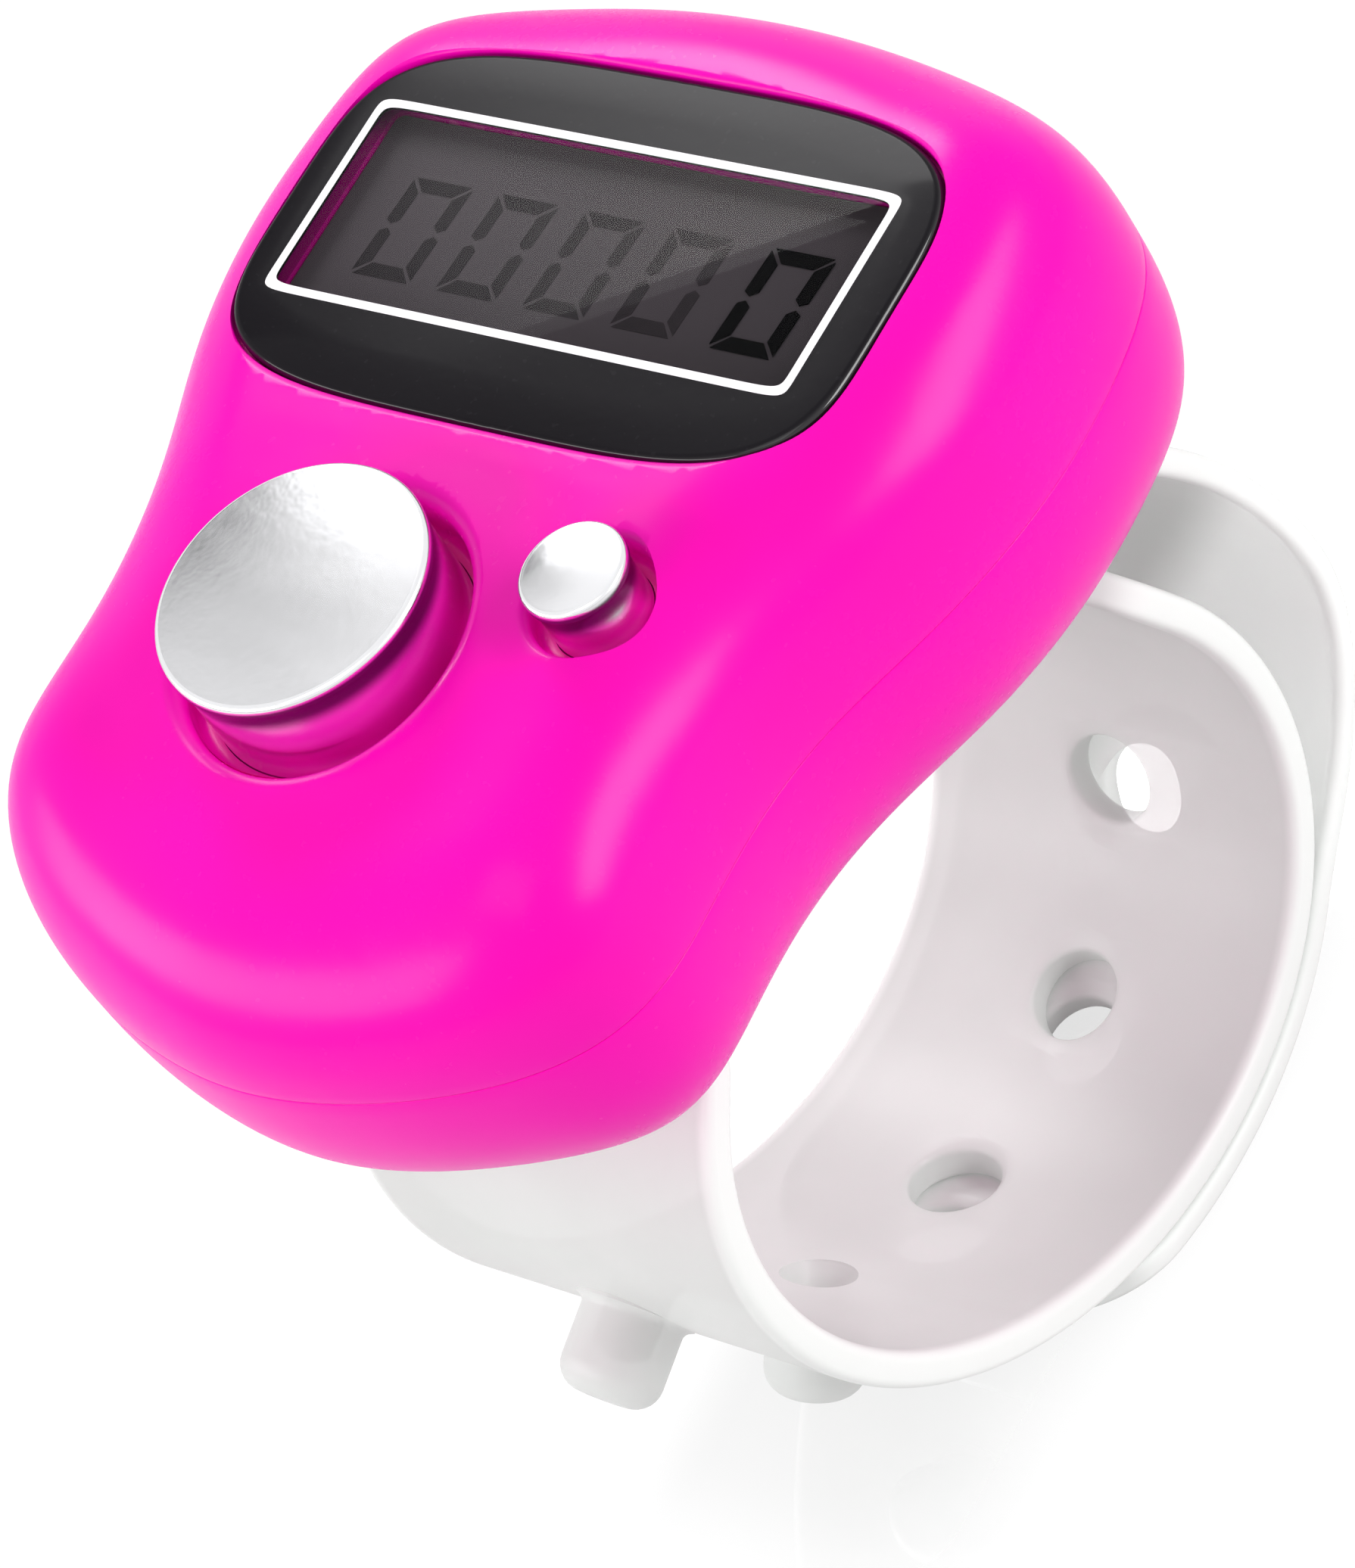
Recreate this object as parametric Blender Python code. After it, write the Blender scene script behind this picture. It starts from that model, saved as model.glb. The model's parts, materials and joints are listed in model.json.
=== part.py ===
"""Finger-worn digital tally counter.

Two moulded shells hold a display, a circuit board and a button cell.  A long
strap and a short strap leave the underside and close into a ring for the
finger.  X runs along the display's lines of digits, Y towards the top of the
display and Z out of the face.  Z = 0 is the lowest point of the strap ring.
Sizes are in millimetres and become metres where the meshes are made.
"""

import math

import bmesh
import bpy
from mathutils import Matrix, Vector

MM = 0.001

# Body, seen from the face
BODY_WIDTH = 24.6
BODY_LENGTH = 30.9
BODY_DEPTH = 11.4
TOP_SHELL_DEPTH = 5.5
WALL = 1.5
CEILING = 1.5
CEILING_BEND = 2.5
CEILING_INSET = 2.8
FLOOR = 1.2
FLOOR_INSET = 2.6
FACE_DROP = 1.8
FACE_DROP_START = 2.0
FIT_GAP = 0.3
STACK_GAP = 0.15
RUN_GAP = 0.2
OVERRUN = 1.0
LAP_HEIGHT = 0.75
LAP_WALL = 0.6

# Half of the body's outline: shares of half the width and of half the length
OUTLINE_SHARES = (
    (0.226, 0.993), (0.451, 0.970), (0.676, 0.923), (0.876, 0.828), (0.973, 0.659),
    (1.001, 0.452), (0.978, 0.239), (0.898, 0.016), (0.817, -0.167), (0.791, -0.362),
    (0.798, -0.533), (0.790, -0.652), (0.722, -0.762), (0.576, -0.863), (0.342, -0.950),
)
OUTLINE_STEPS = 2
OUTLINE_MIDDLE_SHARE = -0.0269
OUTLINE_MIDDLE = BODY_LENGTH * OUTLINE_MIDDLE_SHARE

# Side walls: how far the wall lies inside the outline, and how far the
# shoulders round in, as shares of each shell's depth
SHOULDER = 3.8
BOTTOM_SHOULDER = 3.8
TOP_WALL_SHARES = (
    (0.96, 0.00), (0.69, 0.03), (0.45, 0.12), (0.24, 0.28), (0.09, 0.52), (0.01, 0.78), (0.00, 1.00),
)
BOTTOM_WALL_SHARES = (
    (0.04, 0.00), (0.35, 0.03), (0.60, 0.12), (0.81, 0.30), (0.96, 0.60), (1.00, 1.00),
)
FACE_RING_SHARES = (0.72, 0.42, 0.14)

# Display window, and what lies under it
DISPLAY_PLACE_SHARE = 0.181
WINDOW_WIDTH_SHARE = 0.78
WINDOW_TOP_SHARE = 0.1646
WINDOW_BOTTOM_SHARE = 0.1841
VIEW_WIDTH_SHARE = 0.687
VIEW_HEIGHT_SHARE = 0.2076
GLASS_WIDTH_SHARE = 0.7018
GLASS_HEIGHT_SHARE = 0.2454
ZEBRA_WIDTH_SHARE = 0.6341
DISPLAY_Y = BODY_LENGTH * DISPLAY_PLACE_SHARE
WINDOW_WIDTH = BODY_WIDTH * WINDOW_WIDTH_SHARE
WINDOW_TOP = BODY_LENGTH * WINDOW_TOP_SHARE
WINDOW_BOTTOM = BODY_LENGTH * WINDOW_BOTTOM_SHARE
VIEW_WIDTH = BODY_WIDTH * VIEW_WIDTH_SHARE
VIEW_HEIGHT = BODY_LENGTH * VIEW_HEIGHT_SHARE
GLASS_WIDTH = BODY_WIDTH * GLASS_WIDTH_SHARE
GLASS_HEIGHT = BODY_LENGTH * GLASS_HEIGHT_SHARE
ZEBRA_WIDTH = BODY_WIDTH * ZEBRA_WIDTH_SHARE
WINDOW_CORNER = 3.6
WINDOW_THICK = 0.9
WINDOW_SINK = 0.1
WINDOW_RIM = 1.0
RECESS_FLOOR = 0.8
GLASS_THICK = 0.55
GLASS_LEDGE = 1.5
REFLECTOR_THICK = 0.2
HOLDER_WALL = 0.5
ZEBRA_THICK = 1.0

# Buttons
COUNT_X_SHARE = -0.0285
COUNT_Y_SHARE = -0.2039
COUNT_DIAMETER_SHARE = 0.297
COUNT_WELL_DIAMETER_SHARE = 0.362
RESET_X_SHARE = 0.252
RESET_Y_SHARE = -0.1246
RESET_DIAMETER_SHARE = 0.1141
RESET_WELL_DIAMETER_SHARE = 0.148
COUNT_X = BODY_WIDTH * COUNT_X_SHARE
COUNT_Y = BODY_LENGTH * COUNT_Y_SHARE
COUNT_DIAMETER = BODY_WIDTH * COUNT_DIAMETER_SHARE
COUNT_WELL_DIAMETER = BODY_WIDTH * COUNT_WELL_DIAMETER_SHARE
COUNT_PROUD = 1.5
COUNT_WELL_DEPTH = 1.7
COUNT_TRAVEL = 0.5
RESET_X = BODY_WIDTH * RESET_X_SHARE
RESET_Y = BODY_LENGTH * RESET_Y_SHARE
RESET_DIAMETER = BODY_WIDTH * RESET_DIAMETER_SHARE
RESET_WELL_DIAMETER = BODY_WIDTH * RESET_WELL_DIAMETER_SHARE
RESET_PROUD = 1.0
RESET_WELL_DEPTH = 1.1
RESET_TRAVEL = 0.4
WELL_FLOOR = 0.7
WELL_RIM = 0.6
CAP_EDGE = 0.35
CROWN_SHARE = 0.6
CROWN_ROUND_SHARE = 0.3
CROWN_PROFILE_SHARES = ((0.55, 0.15), (1.0, 0.5))
FLANGE_STEP = 0.4
FLANGE_THICK = 0.5
NUB_DIAMETER = 1.5

# Switches under the buttons
COUNT_SWITCH_SIZE = 4.5
RESET_SWITCH_SIZE = 3.6
SWITCH_HEIGHT = 1.15
SWITCH_BORE = 2.0
SWITCH_BORE_DEPTH = 1.0
PLUNGER_DIAMETER = 1.5
PLUNGER_LENGTH = 0.65

# Circuit board
BOARD_LEVEL = 5.2
BOARD_THICK = 0.8
BOARD_TOP_Y_SHARE = 0.3269
BOARD_BOTTOM_Y_SHARE = -0.3334
BOARD_TOP_WIDTH_SHARE = 0.6992
BOARD_MIDDLE_WIDTH_SHARE = 0.7236
BOARD_BOTTOM_WIDTH_SHARE = 0.6098
BOARD_TOP_Y = BODY_LENGTH * BOARD_TOP_Y_SHARE
BOARD_BOTTOM_Y = BODY_LENGTH * BOARD_BOTTOM_Y_SHARE
BOARD_TOP_WIDTH = BODY_WIDTH * BOARD_TOP_WIDTH_SHARE
BOARD_MIDDLE_WIDTH = BODY_WIDTH * BOARD_MIDDLE_WIDTH_SHARE
BOARD_BOTTOM_WIDTH = BODY_WIDTH * BOARD_BOTTOM_WIDTH_SHARE
BOARD_CORNER = 0.6
CHIP_DIAMETER = 5.0
CHIP_HEIGHT = 0.5
CHIP_PROFILE_SHARES = ((1.0, 0.0), (0.8, 0.65), (0.4, 0.95), (0.0, 1.0))
CHIP_Y_SHARE = 0.1616
CHIP_Y = BODY_LENGTH * CHIP_Y_SHARE
CAPACITOR_LENGTH = 1.6
CAPACITOR_WIDTH = 0.8
CAPACITOR_X_SHARE = 0.2769
CAPACITOR_Y_SHARE = 0.2096
CAPACITOR_X = BODY_WIDTH * CAPACITOR_X_SHARE
CAPACITOR_Y = BODY_LENGTH * CAPACITOR_Y_SHARE

# Button cell and its contacts
CELL_DIAMETER_SHARE = 0.3753
CELL_Y_SHARE = 0.0194
CELL_DIAMETER = BODY_LENGTH * CELL_DIAMETER_SHARE
CELL_HEIGHT = 3.05
CELL_Y = BODY_LENGTH * CELL_Y_SHARE
CELL_EDGE = 0.3
CELL_WALL = 0.65
CELL_WALL_HEIGHT = 2.4
CONTACT_THICK = 0.2
CONTACT_WIDTH = 3.4
CONTACT_REACH_SHARE = 0.313
CONTACT_REACH = BODY_WIDTH * CONTACT_REACH_SHARE

# Screws
CASE_SCREW_X_SHARE = 0.1179
CASE_SCREW_TOP_Y_SHARE = 0.3738
CASE_SCREW_BOTTOM_Y_SHARE = -0.3978
BOARD_SCREW_X_SHARE = 0.2805
BOARD_SCREW_Y_SHARE = -0.2465
CASE_SCREW_X = BODY_WIDTH * CASE_SCREW_X_SHARE
CASE_SCREW_TOP_Y = BODY_LENGTH * CASE_SCREW_TOP_Y_SHARE
CASE_SCREW_BOTTOM_Y = BODY_LENGTH * CASE_SCREW_BOTTOM_Y_SHARE
BOARD_SCREW_X = BODY_WIDTH * BOARD_SCREW_X_SHARE
BOARD_SCREW_Y = BODY_LENGTH * BOARD_SCREW_Y_SHARE
CASE_SCREW_DIAMETER = 1.4
CASE_SCREW_HEAD = 2.2
CASE_SCREW_HEAD_HEIGHT = 0.8
CASE_SCREW_LENGTH = 6.0
CASE_SCREW_SINK = 1.6
POST_DIAMETER = 2.6
TUBE_DIAMETER = 3.4
TUBE_FOOT_SHARE = 0.7
BOARD_SCREW_DIAMETER = 1.0
BOARD_SCREW_HEAD = 1.9
BOARD_SCREW_HEAD_HEIGHT = 0.5
BOARD_SCREW_LENGTH = 1.8
BOARD_POST_DIAMETER = 2.2
DRIVE_WIDTH = 0.35
DRIVE_DEPTH = 0.35
DRIVE_REACH_SHARE = 0.6
HEAD_FLAT_SHARE = 0.8
HEAD_ROUND_SHARE = 0.35

# Strap ring: a leaning oval in the Y and Z plane, inside measure
RING_LONG_SHARE = 0.3917
RING_SHORT_SHARE = 0.3042
RING_Y_SHARE = -0.0064
RING_BELOW_SHARE = 0.3625
STRAP_WIDTH_SHARE = 0.5126
RING_LONG_RADIUS = BODY_LENGTH * RING_LONG_SHARE
RING_SHORT_RADIUS = BODY_LENGTH * RING_SHORT_SHARE
RING_LEAN = -40.0
RING_Y = BODY_LENGTH * RING_Y_SHARE
RING_BELOW_BODY = BODY_LENGTH * RING_BELOW_SHARE
STRAP_WIDTH = BODY_WIDTH * STRAP_WIDTH_SHARE
LONG_STRAP_THICK = 1.0
SHORT_STRAP_THICK = 0.8
STRAP_GAP = 0.25
WING_GAP = 2.8
WING_START = -8.0
WING_END = 36.0
LONG_ROOT_ANGLE = -180.0
LONG_ARC_END_ANGLE = 60.0
LONG_TAIL_LENGTH = 5.6
LONG_TAIL_STEPS = 4
SHORT_ROOT_ANGLE = 80.0
LONG_ROOT_SHARE = 0.5
SHORT_ROOT_SHARE = 0.54
SHORT_TIP_ANGLE = -84.0
STRAP_STEP_ANGLE = 7.0
STRAP_TIP_LENGTH = 4.6
STRAP_TIP_STEPS = 3
TIP_END_SHARE = 0.35
HOLE_ANGLES = (7.0, -30.0, -65.0)
HOLE_DIAMETER = 2.6
PEG_ANGLES = (-94.0, -131.0)
PEG_DIAMETER = 2.6
PEG_LENGTH = 2.4
PEG_EDGE = 0.8
PEG_ROUND_SHARE = 0.3
PEG_BORE = 1.5
PEG_BORE_DEPTH = 2.2
ANCHOR_SIDE = 0.5
ANCHOR_FOOT = 0.9
ANCHOR_THICK = 0.9
ROOT_STRAIGHT = 0.5

ROUND_STEPS = 40
SMALL_ROUND_STEPS = 20


def oval_point(angle, offset=0.0):
    """Point of the ring's oval at an angle of its own parameter, pushed out along its normal."""
    lean = math.radians(RING_LEAN)
    along = Vector((math.cos(lean), math.sin(lean)))
    across = Vector((-math.sin(lean), math.cos(lean)))
    turn = math.radians(angle)
    centre = Vector((RING_Y, -BODY_DEPTH - RING_BELOW_BODY))
    point = centre + along * RING_LONG_RADIUS * math.cos(turn) + across * RING_SHORT_RADIUS * math.sin(turn)
    return point + oval_normal(angle) * offset


def oval_normal(angle):
    """Outward unit normal of the ring's oval at the same angle."""
    lean = math.radians(RING_LEAN)
    along = Vector((math.cos(lean), math.sin(lean)))
    across = Vector((-math.sin(lean), math.cos(lean)))
    turn = math.radians(angle)
    normal = along * math.cos(turn) / RING_LONG_RADIUS + across * math.sin(turn) / RING_SHORT_RADIUS
    return normal.normalized()


def smooth_step(value, start, end):
    """Zero before start, one after end, and a smooth rise between."""
    share = min(1.0, max(0.0, (value - start) / (end - start)))
    return share * share * (3.0 - 2.0 * share)


def short_strap_offset(angle):
    """Distance from the oval to the middle of the short strap, which bulges away at the top."""
    rest = LONG_STRAP_THICK + STRAP_GAP + SHORT_STRAP_THICK / 2
    return rest + WING_GAP * smooth_step(angle, WING_START, WING_END)


def short_strap_points():
    """Points of the short strap's outer face, a degree apart, as (Y, Z)."""
    angles = [SHORT_TIP_ANGLE + i for i in range(int(SHORT_ROOT_ANGLE - SHORT_TIP_ANGLE))]
    return [oval_point(a, short_strap_offset(a) + SHORT_STRAP_THICK / 2) for a in angles]


# The whole part stands on Z = 0, with the middle of its length at Y = 0
FACE_Z = -min(point.y for point in short_strap_points())
FARTHEST_Y = max(point.x for point in short_strap_points())
SHIFT_Y = (BODY_LENGTH / 2 - OUTLINE_MIDDLE - FARTHEST_Y) / 2
PARTING = -TOP_SHELL_DEPTH
UNDERSIDE = -BODY_DEPTH
FLOOR_TOP = UNDERSIDE + FLOOR
BOARD_TOP = -BOARD_LEVEL
BOARD_BOTTOM = BOARD_TOP - BOARD_THICK
RECESS_LEVEL = -WINDOW_SINK - WINDOW_THICK - FIT_GAP
RECESS_UNDER = RECESS_LEVEL - RECESS_FLOOR
GLASS_TOP = RECESS_UNDER - RUN_GAP
GLASS_UNDER = GLASS_TOP - GLASS_THICK
REAR_TOP = GLASS_UNDER - STACK_GAP
REAR_UNDER = REAR_TOP - GLASS_THICK
REFLECTOR_TOP = REAR_UNDER - STACK_GAP
SWITCH_TOP = BOARD_TOP + STACK_GAP + SWITCH_HEIGHT
PLUNGER_BASE = SWITCH_TOP - SWITCH_BORE_DEPTH + COUNT_TRAVEL + STACK_GAP
PLUNGER_TOP = PLUNGER_BASE + PLUNGER_LENGTH


def drop(y):
    """How far the face has fallen away at a place on the lower half of the body."""
    reach = BODY_LENGTH / 2 - OUTLINE_MIDDLE - FACE_DROP_START
    share = max(0.0, -y - FACE_DROP_START) / reach
    return FACE_DROP * share * share


def curve_points(points, steps):
    """Closed smooth curve through the points, by Catmull and Rom's formula."""
    out = []
    count = len(points)
    for i in range(count):
        a, b, c, d = (Vector(points[(i + k) % count]) for k in (-1, 0, 1, 2))
        for j in range(steps):
            t = j / steps
            out.append(0.5 * (2 * b + (c - a) * t + (2 * a - 5 * b + 4 * c - d) * t * t
                              + (3 * b - a - 3 * c + d) * t * t * t))
    return out


def body_outline(inset=0.0):
    """The body's outline in X and Y, clockwise from the top, moved in by an inset."""
    top = (0, OUTLINE_MIDDLE + BODY_LENGTH / 2)
    base = (0, OUTLINE_MIDDLE - BODY_LENGTH / 2)
    right = [(x * BODY_WIDTH / 2, OUTLINE_MIDDLE + y * BODY_LENGTH / 2) for x, y in OUTLINE_SHARES]
    left = [(-x, y) for x, y in reversed(right)]
    points = curve_points([top] + right + [base] + left, OUTLINE_STEPS)
    count = len(points)
    out = []
    for i, point in enumerate(points):
        along = points[(i + 1) % count] - points[i - 1]
        inward = Vector((along.y, -along.x)).normalized()
        out.append(point + inward * inset)
    return out


def rounded_polygon(corners, radius, steps=5):
    """Closed outline with each corner replaced by an arc of the given radius."""
    out = []
    count = len(corners)
    for i in range(count):
        before, corner, after = (Vector(corners[(i + k) % count]) for k in (-1, 0, 1))
        back = (before - corner).normalized()
        ahead = (after - corner).normalized()
        half = back.angle(ahead) / 2
        reach = radius / math.tan(half)
        centre = corner + (back + ahead).normalized() * (radius / math.sin(half))
        start = corner + back * reach - centre
        end = corner + ahead * reach - centre
        turn = start.angle_signed(end)
        for j in range(steps + 1):
            spin = Matrix.Rotation(-turn * j / steps, 2)
            out.append(centre + spin @ start)
    return out


def rectangle(x0, x1, y0, y1):
    """Corners of a rectangle, counterclockwise."""
    return [(x0, y0), (x1, y0), (x1, y1), (x0, y1)]


def window_outline(grow=0.0):
    """Outline of the display window, with large corners."""
    half = WINDOW_WIDTH / 2 + grow
    corners = rectangle(-half, half, DISPLAY_Y - WINDOW_BOTTOM - grow, DISPLAY_Y + WINDOW_TOP + grow)
    return rounded_polygon(corners, WINDOW_CORNER + grow)


def material(name, color, roughness, metallic=0.0, alpha=1.0):
    """A plain material with the piece's own colour and finish."""
    made = bpy.data.materials.new(name)
    made.use_nodes = True
    shader = made.node_tree.nodes["Principled BSDF"]
    shader.inputs["Base Color"].default_value = (*color, 1.0)
    shader.inputs["Roughness"].default_value = roughness
    shader.inputs["Metallic"].default_value = metallic
    shader.inputs["Alpha"].default_value = alpha
    return made


def solid(name, verts, faces, look=None, smooth_angle=None):
    """Object from points in millimetres round the face's middle, with its faces turned outwards."""
    bm = bmesh.new()
    made = [bm.verts.new((x * MM, (y + SHIFT_Y) * MM, (z + FACE_Z) * MM)) for x, y, z in verts]
    for face in faces:
        bm.faces.new([made[i] for i in face])
    bmesh.ops.recalc_face_normals(bm, faces=bm.faces)
    mesh = bpy.data.meshes.new(name)
    bm.to_mesh(mesh)
    bm.free()
    if smooth_angle is not None:
        mesh.shade_smooth()
        mesh.set_sharp_from_angle(angle=math.radians(smooth_angle))
    obj = bpy.data.objects.new(name, mesh)
    bpy.context.scene.collection.objects.link(obj)
    if look is not None:
        mesh.materials.append(look)
    else:
        obj.hide_render = True
        obj.display_type = 'WIRE'
    return obj


def loft(name, rings, look=None, smooth_angle=None):
    """Closed solid through rings of equal count, with both ends capped.

    An end ring of a single point closes as a fan.
    """
    verts = []
    starts = []
    for ring in rings:
        starts.append(len(verts))
        verts.extend(ring)
    faces = []
    for k in range(len(rings) - 1):
        a, b = rings[k], rings[k + 1]
        count = max(len(a), len(b))
        for i in range(count):
            j = (i + 1) % count
            if len(a) == 1:
                faces.append((starts[k], starts[k + 1] + i, starts[k + 1] + j))
            elif len(b) == 1:
                faces.append((starts[k] + i, starts[k + 1], starts[k] + j))
            else:
                faces.append((starts[k] + i, starts[k + 1] + i, starts[k + 1] + j, starts[k] + j))
    for k in (0, len(rings) - 1):
        if len(rings[k]) > 1:
            faces.append(tuple(starts[k] + i for i in range(len(rings[k]))))
    return solid(name, verts, faces, look, smooth_angle)


def prism(name, outline, low, high, look=None):
    """Upright solid over an outline in X and Y."""
    return loft(name, [[(x, y, low) for x, y in outline], [(x, y, high) for x, y in outline]], look)


def turned(name, x, y, profile, look=None, steps=ROUND_STEPS):
    """Solid turned about an upright axis, from (radius, height) pairs; radius zero is a pole."""
    rings = []
    for radius, height in profile:
        if radius == 0:
            rings.append([(x, y, height)])
        else:
            rings.append([(x + radius * math.cos(math.tau * i / steps),
                           y + radius * math.sin(math.tau * i / steps), height) for i in range(steps)])
    return loft(name, rings, look, smooth_angle=40)


def use_solid(target, tool, operation):
    """Live Boolean of the target with a tool that stays hidden."""
    step = target.modifiers.new(tool.name, 'BOOLEAN')
    step.operation = operation
    step.object = tool
    step.solver = 'EXACT'


def cut(target, tool):
    use_solid(target, tool, 'DIFFERENCE')


def join(target, tool):
    use_solid(target, tool, 'UNION')


def body_rings(levels, inset_of, level_of, falls):
    """Rings of the body's outline, one for each pair of shares."""
    rings = []
    for level, inset in levels:
        z = level_of(level)
        ring = body_outline(inset_of(inset))
        rings.append([(p.x, p.y, z - (drop(p.y) * (1 - level) if falls else 0.0)) for p in ring])
    return rings


def face_rings(ring, shares):
    """Rings that shrink towards the middle of a ring on the fallen face, ending in one point."""
    depth = ring[0][2]
    rings = [[(x * s, y * s, depth - drop(y * s)) for x, y, z in ring] for s in shares]
    rings.append([(0.0, 0.0, depth)])
    return rings


def top_shell(look):
    """Upper moulding: side wall, rounded shoulder, face, wells, window recess and screw posts."""
    outer = body_rings(TOP_WALL_SHARES, lambda s: s * SHOULDER, lambda s: PARTING * s, True)
    face = face_rings(outer[-1], FACE_RING_SHARES)
    rim_inset = WALL - LAP_WALL - FIT_GAP / 2
    lap_level = PARTING + LAP_HEIGHT + FIT_GAP
    rim = body_outline(rim_inset)
    wall = body_outline(WALL)
    roof = body_outline(CEILING_INSET)
    inner = [[(p.x, p.y, PARTING + FIT_GAP / 2) for p in rim],
             [(p.x, p.y, lap_level) for p in rim],
             [(p.x, p.y, lap_level) for p in wall],
             [(p.x, p.y, -CEILING_BEND - drop(p.y)) for p in wall],
             [(p.x, p.y, -CEILING - drop(p.y)) for p in roof]]
    ceiling = face_rings(inner[-1], FACE_RING_SHARES)
    bottom = [(x, y, PARTING + FIT_GAP / 2) for x, y, z in outer[0]]
    rings = list(reversed(face)) + list(reversed(outer[1:])) + [bottom] + inner + ceiling
    shell = loft('top_shell', rings, look, smooth_angle=35)

    plate_top = RECESS_LEVEL / 2
    join(shell, prism('window_seat', window_outline(WINDOW_RIM), RECESS_UNDER, plate_top))
    for name, x, y, well, depth in wells():
        seat = well / 2 + WELL_RIM
        join(shell, turned(name + '_seat', x, y, [(seat, -depth - WELL_FLOOR), (seat, plate_top)]))
    for name, x, y in case_screw_places():
        radius = POST_DIAMETER / 2
        join(shell, turned(name + '_post', x, y, [(radius, PARTING - FIT_GAP / 2), (radius, plate_top * 2)],
                           steps=SMALL_ROUND_STEPS))
    for name, x, y in board_screw_places():
        radius = BOARD_POST_DIAMETER / 2
        join(shell, turned(name + '_post', x, y, [(radius, BOARD_TOP + STACK_GAP), (radius, plate_top * 2)],
                           steps=SMALL_ROUND_STEPS))

    cut(shell, prism('window_recess', window_outline(FIT_GAP / 2), RECESS_LEVEL, OVERRUN))
    half = VIEW_WIDTH / 2
    view = rectangle(-half, half, DISPLAY_Y - VIEW_HEIGHT / 2, DISPLAY_Y + VIEW_HEIGHT / 2)
    cut(shell, prism('view_opening', view, RECESS_UNDER - OVERRUN, OVERRUN))
    for name, x, y, well, depth in wells():
        bore = button_radius(name) + RUN_GAP
        cut(shell, turned(name + '_well', x, y, [(bore, -depth - WELL_FLOOR - OVERRUN), (bore, -depth),
                                                 (well / 2, -depth), (well / 2, OVERRUN)]))
    for name, x, y in case_screw_places():
        radius = CASE_SCREW_DIAMETER / 2 + STACK_GAP
        profile = [(radius, PARTING - OVERRUN), (radius, case_screw_tip() + FIT_GAP)]
        cut(shell, turned(name + '_pilot', x, y, profile, steps=SMALL_ROUND_STEPS))
    for name, x, y in board_screw_places():
        radius = BOARD_SCREW_DIAMETER / 2 + STACK_GAP
        tip = BOARD_BOTTOM - STACK_GAP + BOARD_SCREW_LENGTH + FIT_GAP
        cut(shell, turned(name + '_pilot', x, y, [(radius, BOARD_TOP - OVERRUN), (radius, tip)],
                          steps=SMALL_ROUND_STEPS))
    return shell


def bottom_shell(look):
    """Lower moulding: side wall with a lap lip, floor, screw tubes, cell ring and strap slots."""
    depth = BODY_DEPTH - TOP_SHELL_DEPTH
    outer = body_rings(BOTTOM_WALL_SHARES, lambda s: s * BOTTOM_SHOULDER,
                       lambda s: PARTING - depth * s, False)
    lip = body_outline(WALL - LAP_WALL + FIT_GAP / 2)
    wall = body_outline(WALL)
    base = body_outline(FLOOR_INSET)
    rim = PARTING - FIT_GAP / 2
    top = [(x, y, rim) for x, y, z in outer[0]]
    inner = [[(p.x, p.y, rim) for p in lip],
             [(p.x, p.y, rim + LAP_HEIGHT) for p in lip],
             [(p.x, p.y, rim + LAP_HEIGHT) for p in wall],
             [(p.x, p.y, FLOOR_TOP + FLOOR * 2) for p in wall],
             [(p.x, p.y, FLOOR_TOP) for p in base]]
    rings = list(reversed(outer[1:])) + [top] + inner
    shell = loft('bottom_shell', rings, look, smooth_angle=35)

    middle = UNDERSIDE + FLOOR / 2
    for name, x, y in case_screw_places():
        wide = TUBE_DIAMETER / 2
        slim = POST_DIAMETER / 2
        neck = case_screw_seat() + FLOOR / 2
        profile = [(slim, UNDERSIDE + FLOOR * TUBE_FOOT_SHARE), (wide, FLOOR_TOP + FIT_GAP), (wide, neck),
                   (slim, neck + wide - slim), (slim, PARTING - FIT_GAP / 2 - FIT_GAP)]
        join(shell, turned(name + '_tube', x, y, profile, steps=SMALL_ROUND_STEPS))
    outside = CELL_DIAMETER / 2 + RUN_GAP + CELL_WALL
    ring = [(outside, middle), (outside, FLOOR_TOP + CELL_WALL_HEIGHT)]
    join(shell, turned('cell_ring', 0.0, CELL_Y, ring))
    inside = CELL_DIAMETER / 2 + RUN_GAP
    cut(shell, turned('cell_pocket', 0.0, CELL_Y, [(inside, FLOOR_TOP), (inside, PARTING)]))
    notch = CONTACT_WIDTH / 2 + FIT_GAP
    cut(shell, prism('contact_notch', rectangle(-CONTACT_REACH - OVERRUN, CONTACT_REACH + OVERRUN,
                                                CELL_Y - notch, CELL_Y + notch),
                     FLOOR_TOP, PARTING))
    for name, x, y in case_screw_places():
        hole = CASE_SCREW_DIAMETER / 2 + RUN_GAP
        head = CASE_SCREW_HEAD / 2 + RUN_GAP
        seat = case_screw_seat()
        cut(shell, turned(name + '_bore', x, y, [(head, UNDERSIDE - OVERRUN), (head, seat), (hole, seat),
                                                 (hole, PARTING + OVERRUN)], steps=SMALL_ROUND_STEPS))
    for name, y, thick in strap_roots():
        half = STRAP_WIDTH / 2 + RUN_GAP
        side = thick / 2 + RUN_GAP
        cut(shell, prism(name + '_slot', rectangle(-half, half, y - side, y + side),
                         UNDERSIDE - OVERRUN, FLOOR_TOP + OVERRUN))
    return shell


def wells():
    """Each button's name, place, well diameter and well depth."""
    return (('count', COUNT_X, COUNT_Y, COUNT_WELL_DIAMETER, COUNT_WELL_DEPTH),
            ('reset', RESET_X, RESET_Y, RESET_WELL_DIAMETER, RESET_WELL_DEPTH))


def button_radius(name):
    return (COUNT_DIAMETER if name == 'count' else RESET_DIAMETER) / 2


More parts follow.
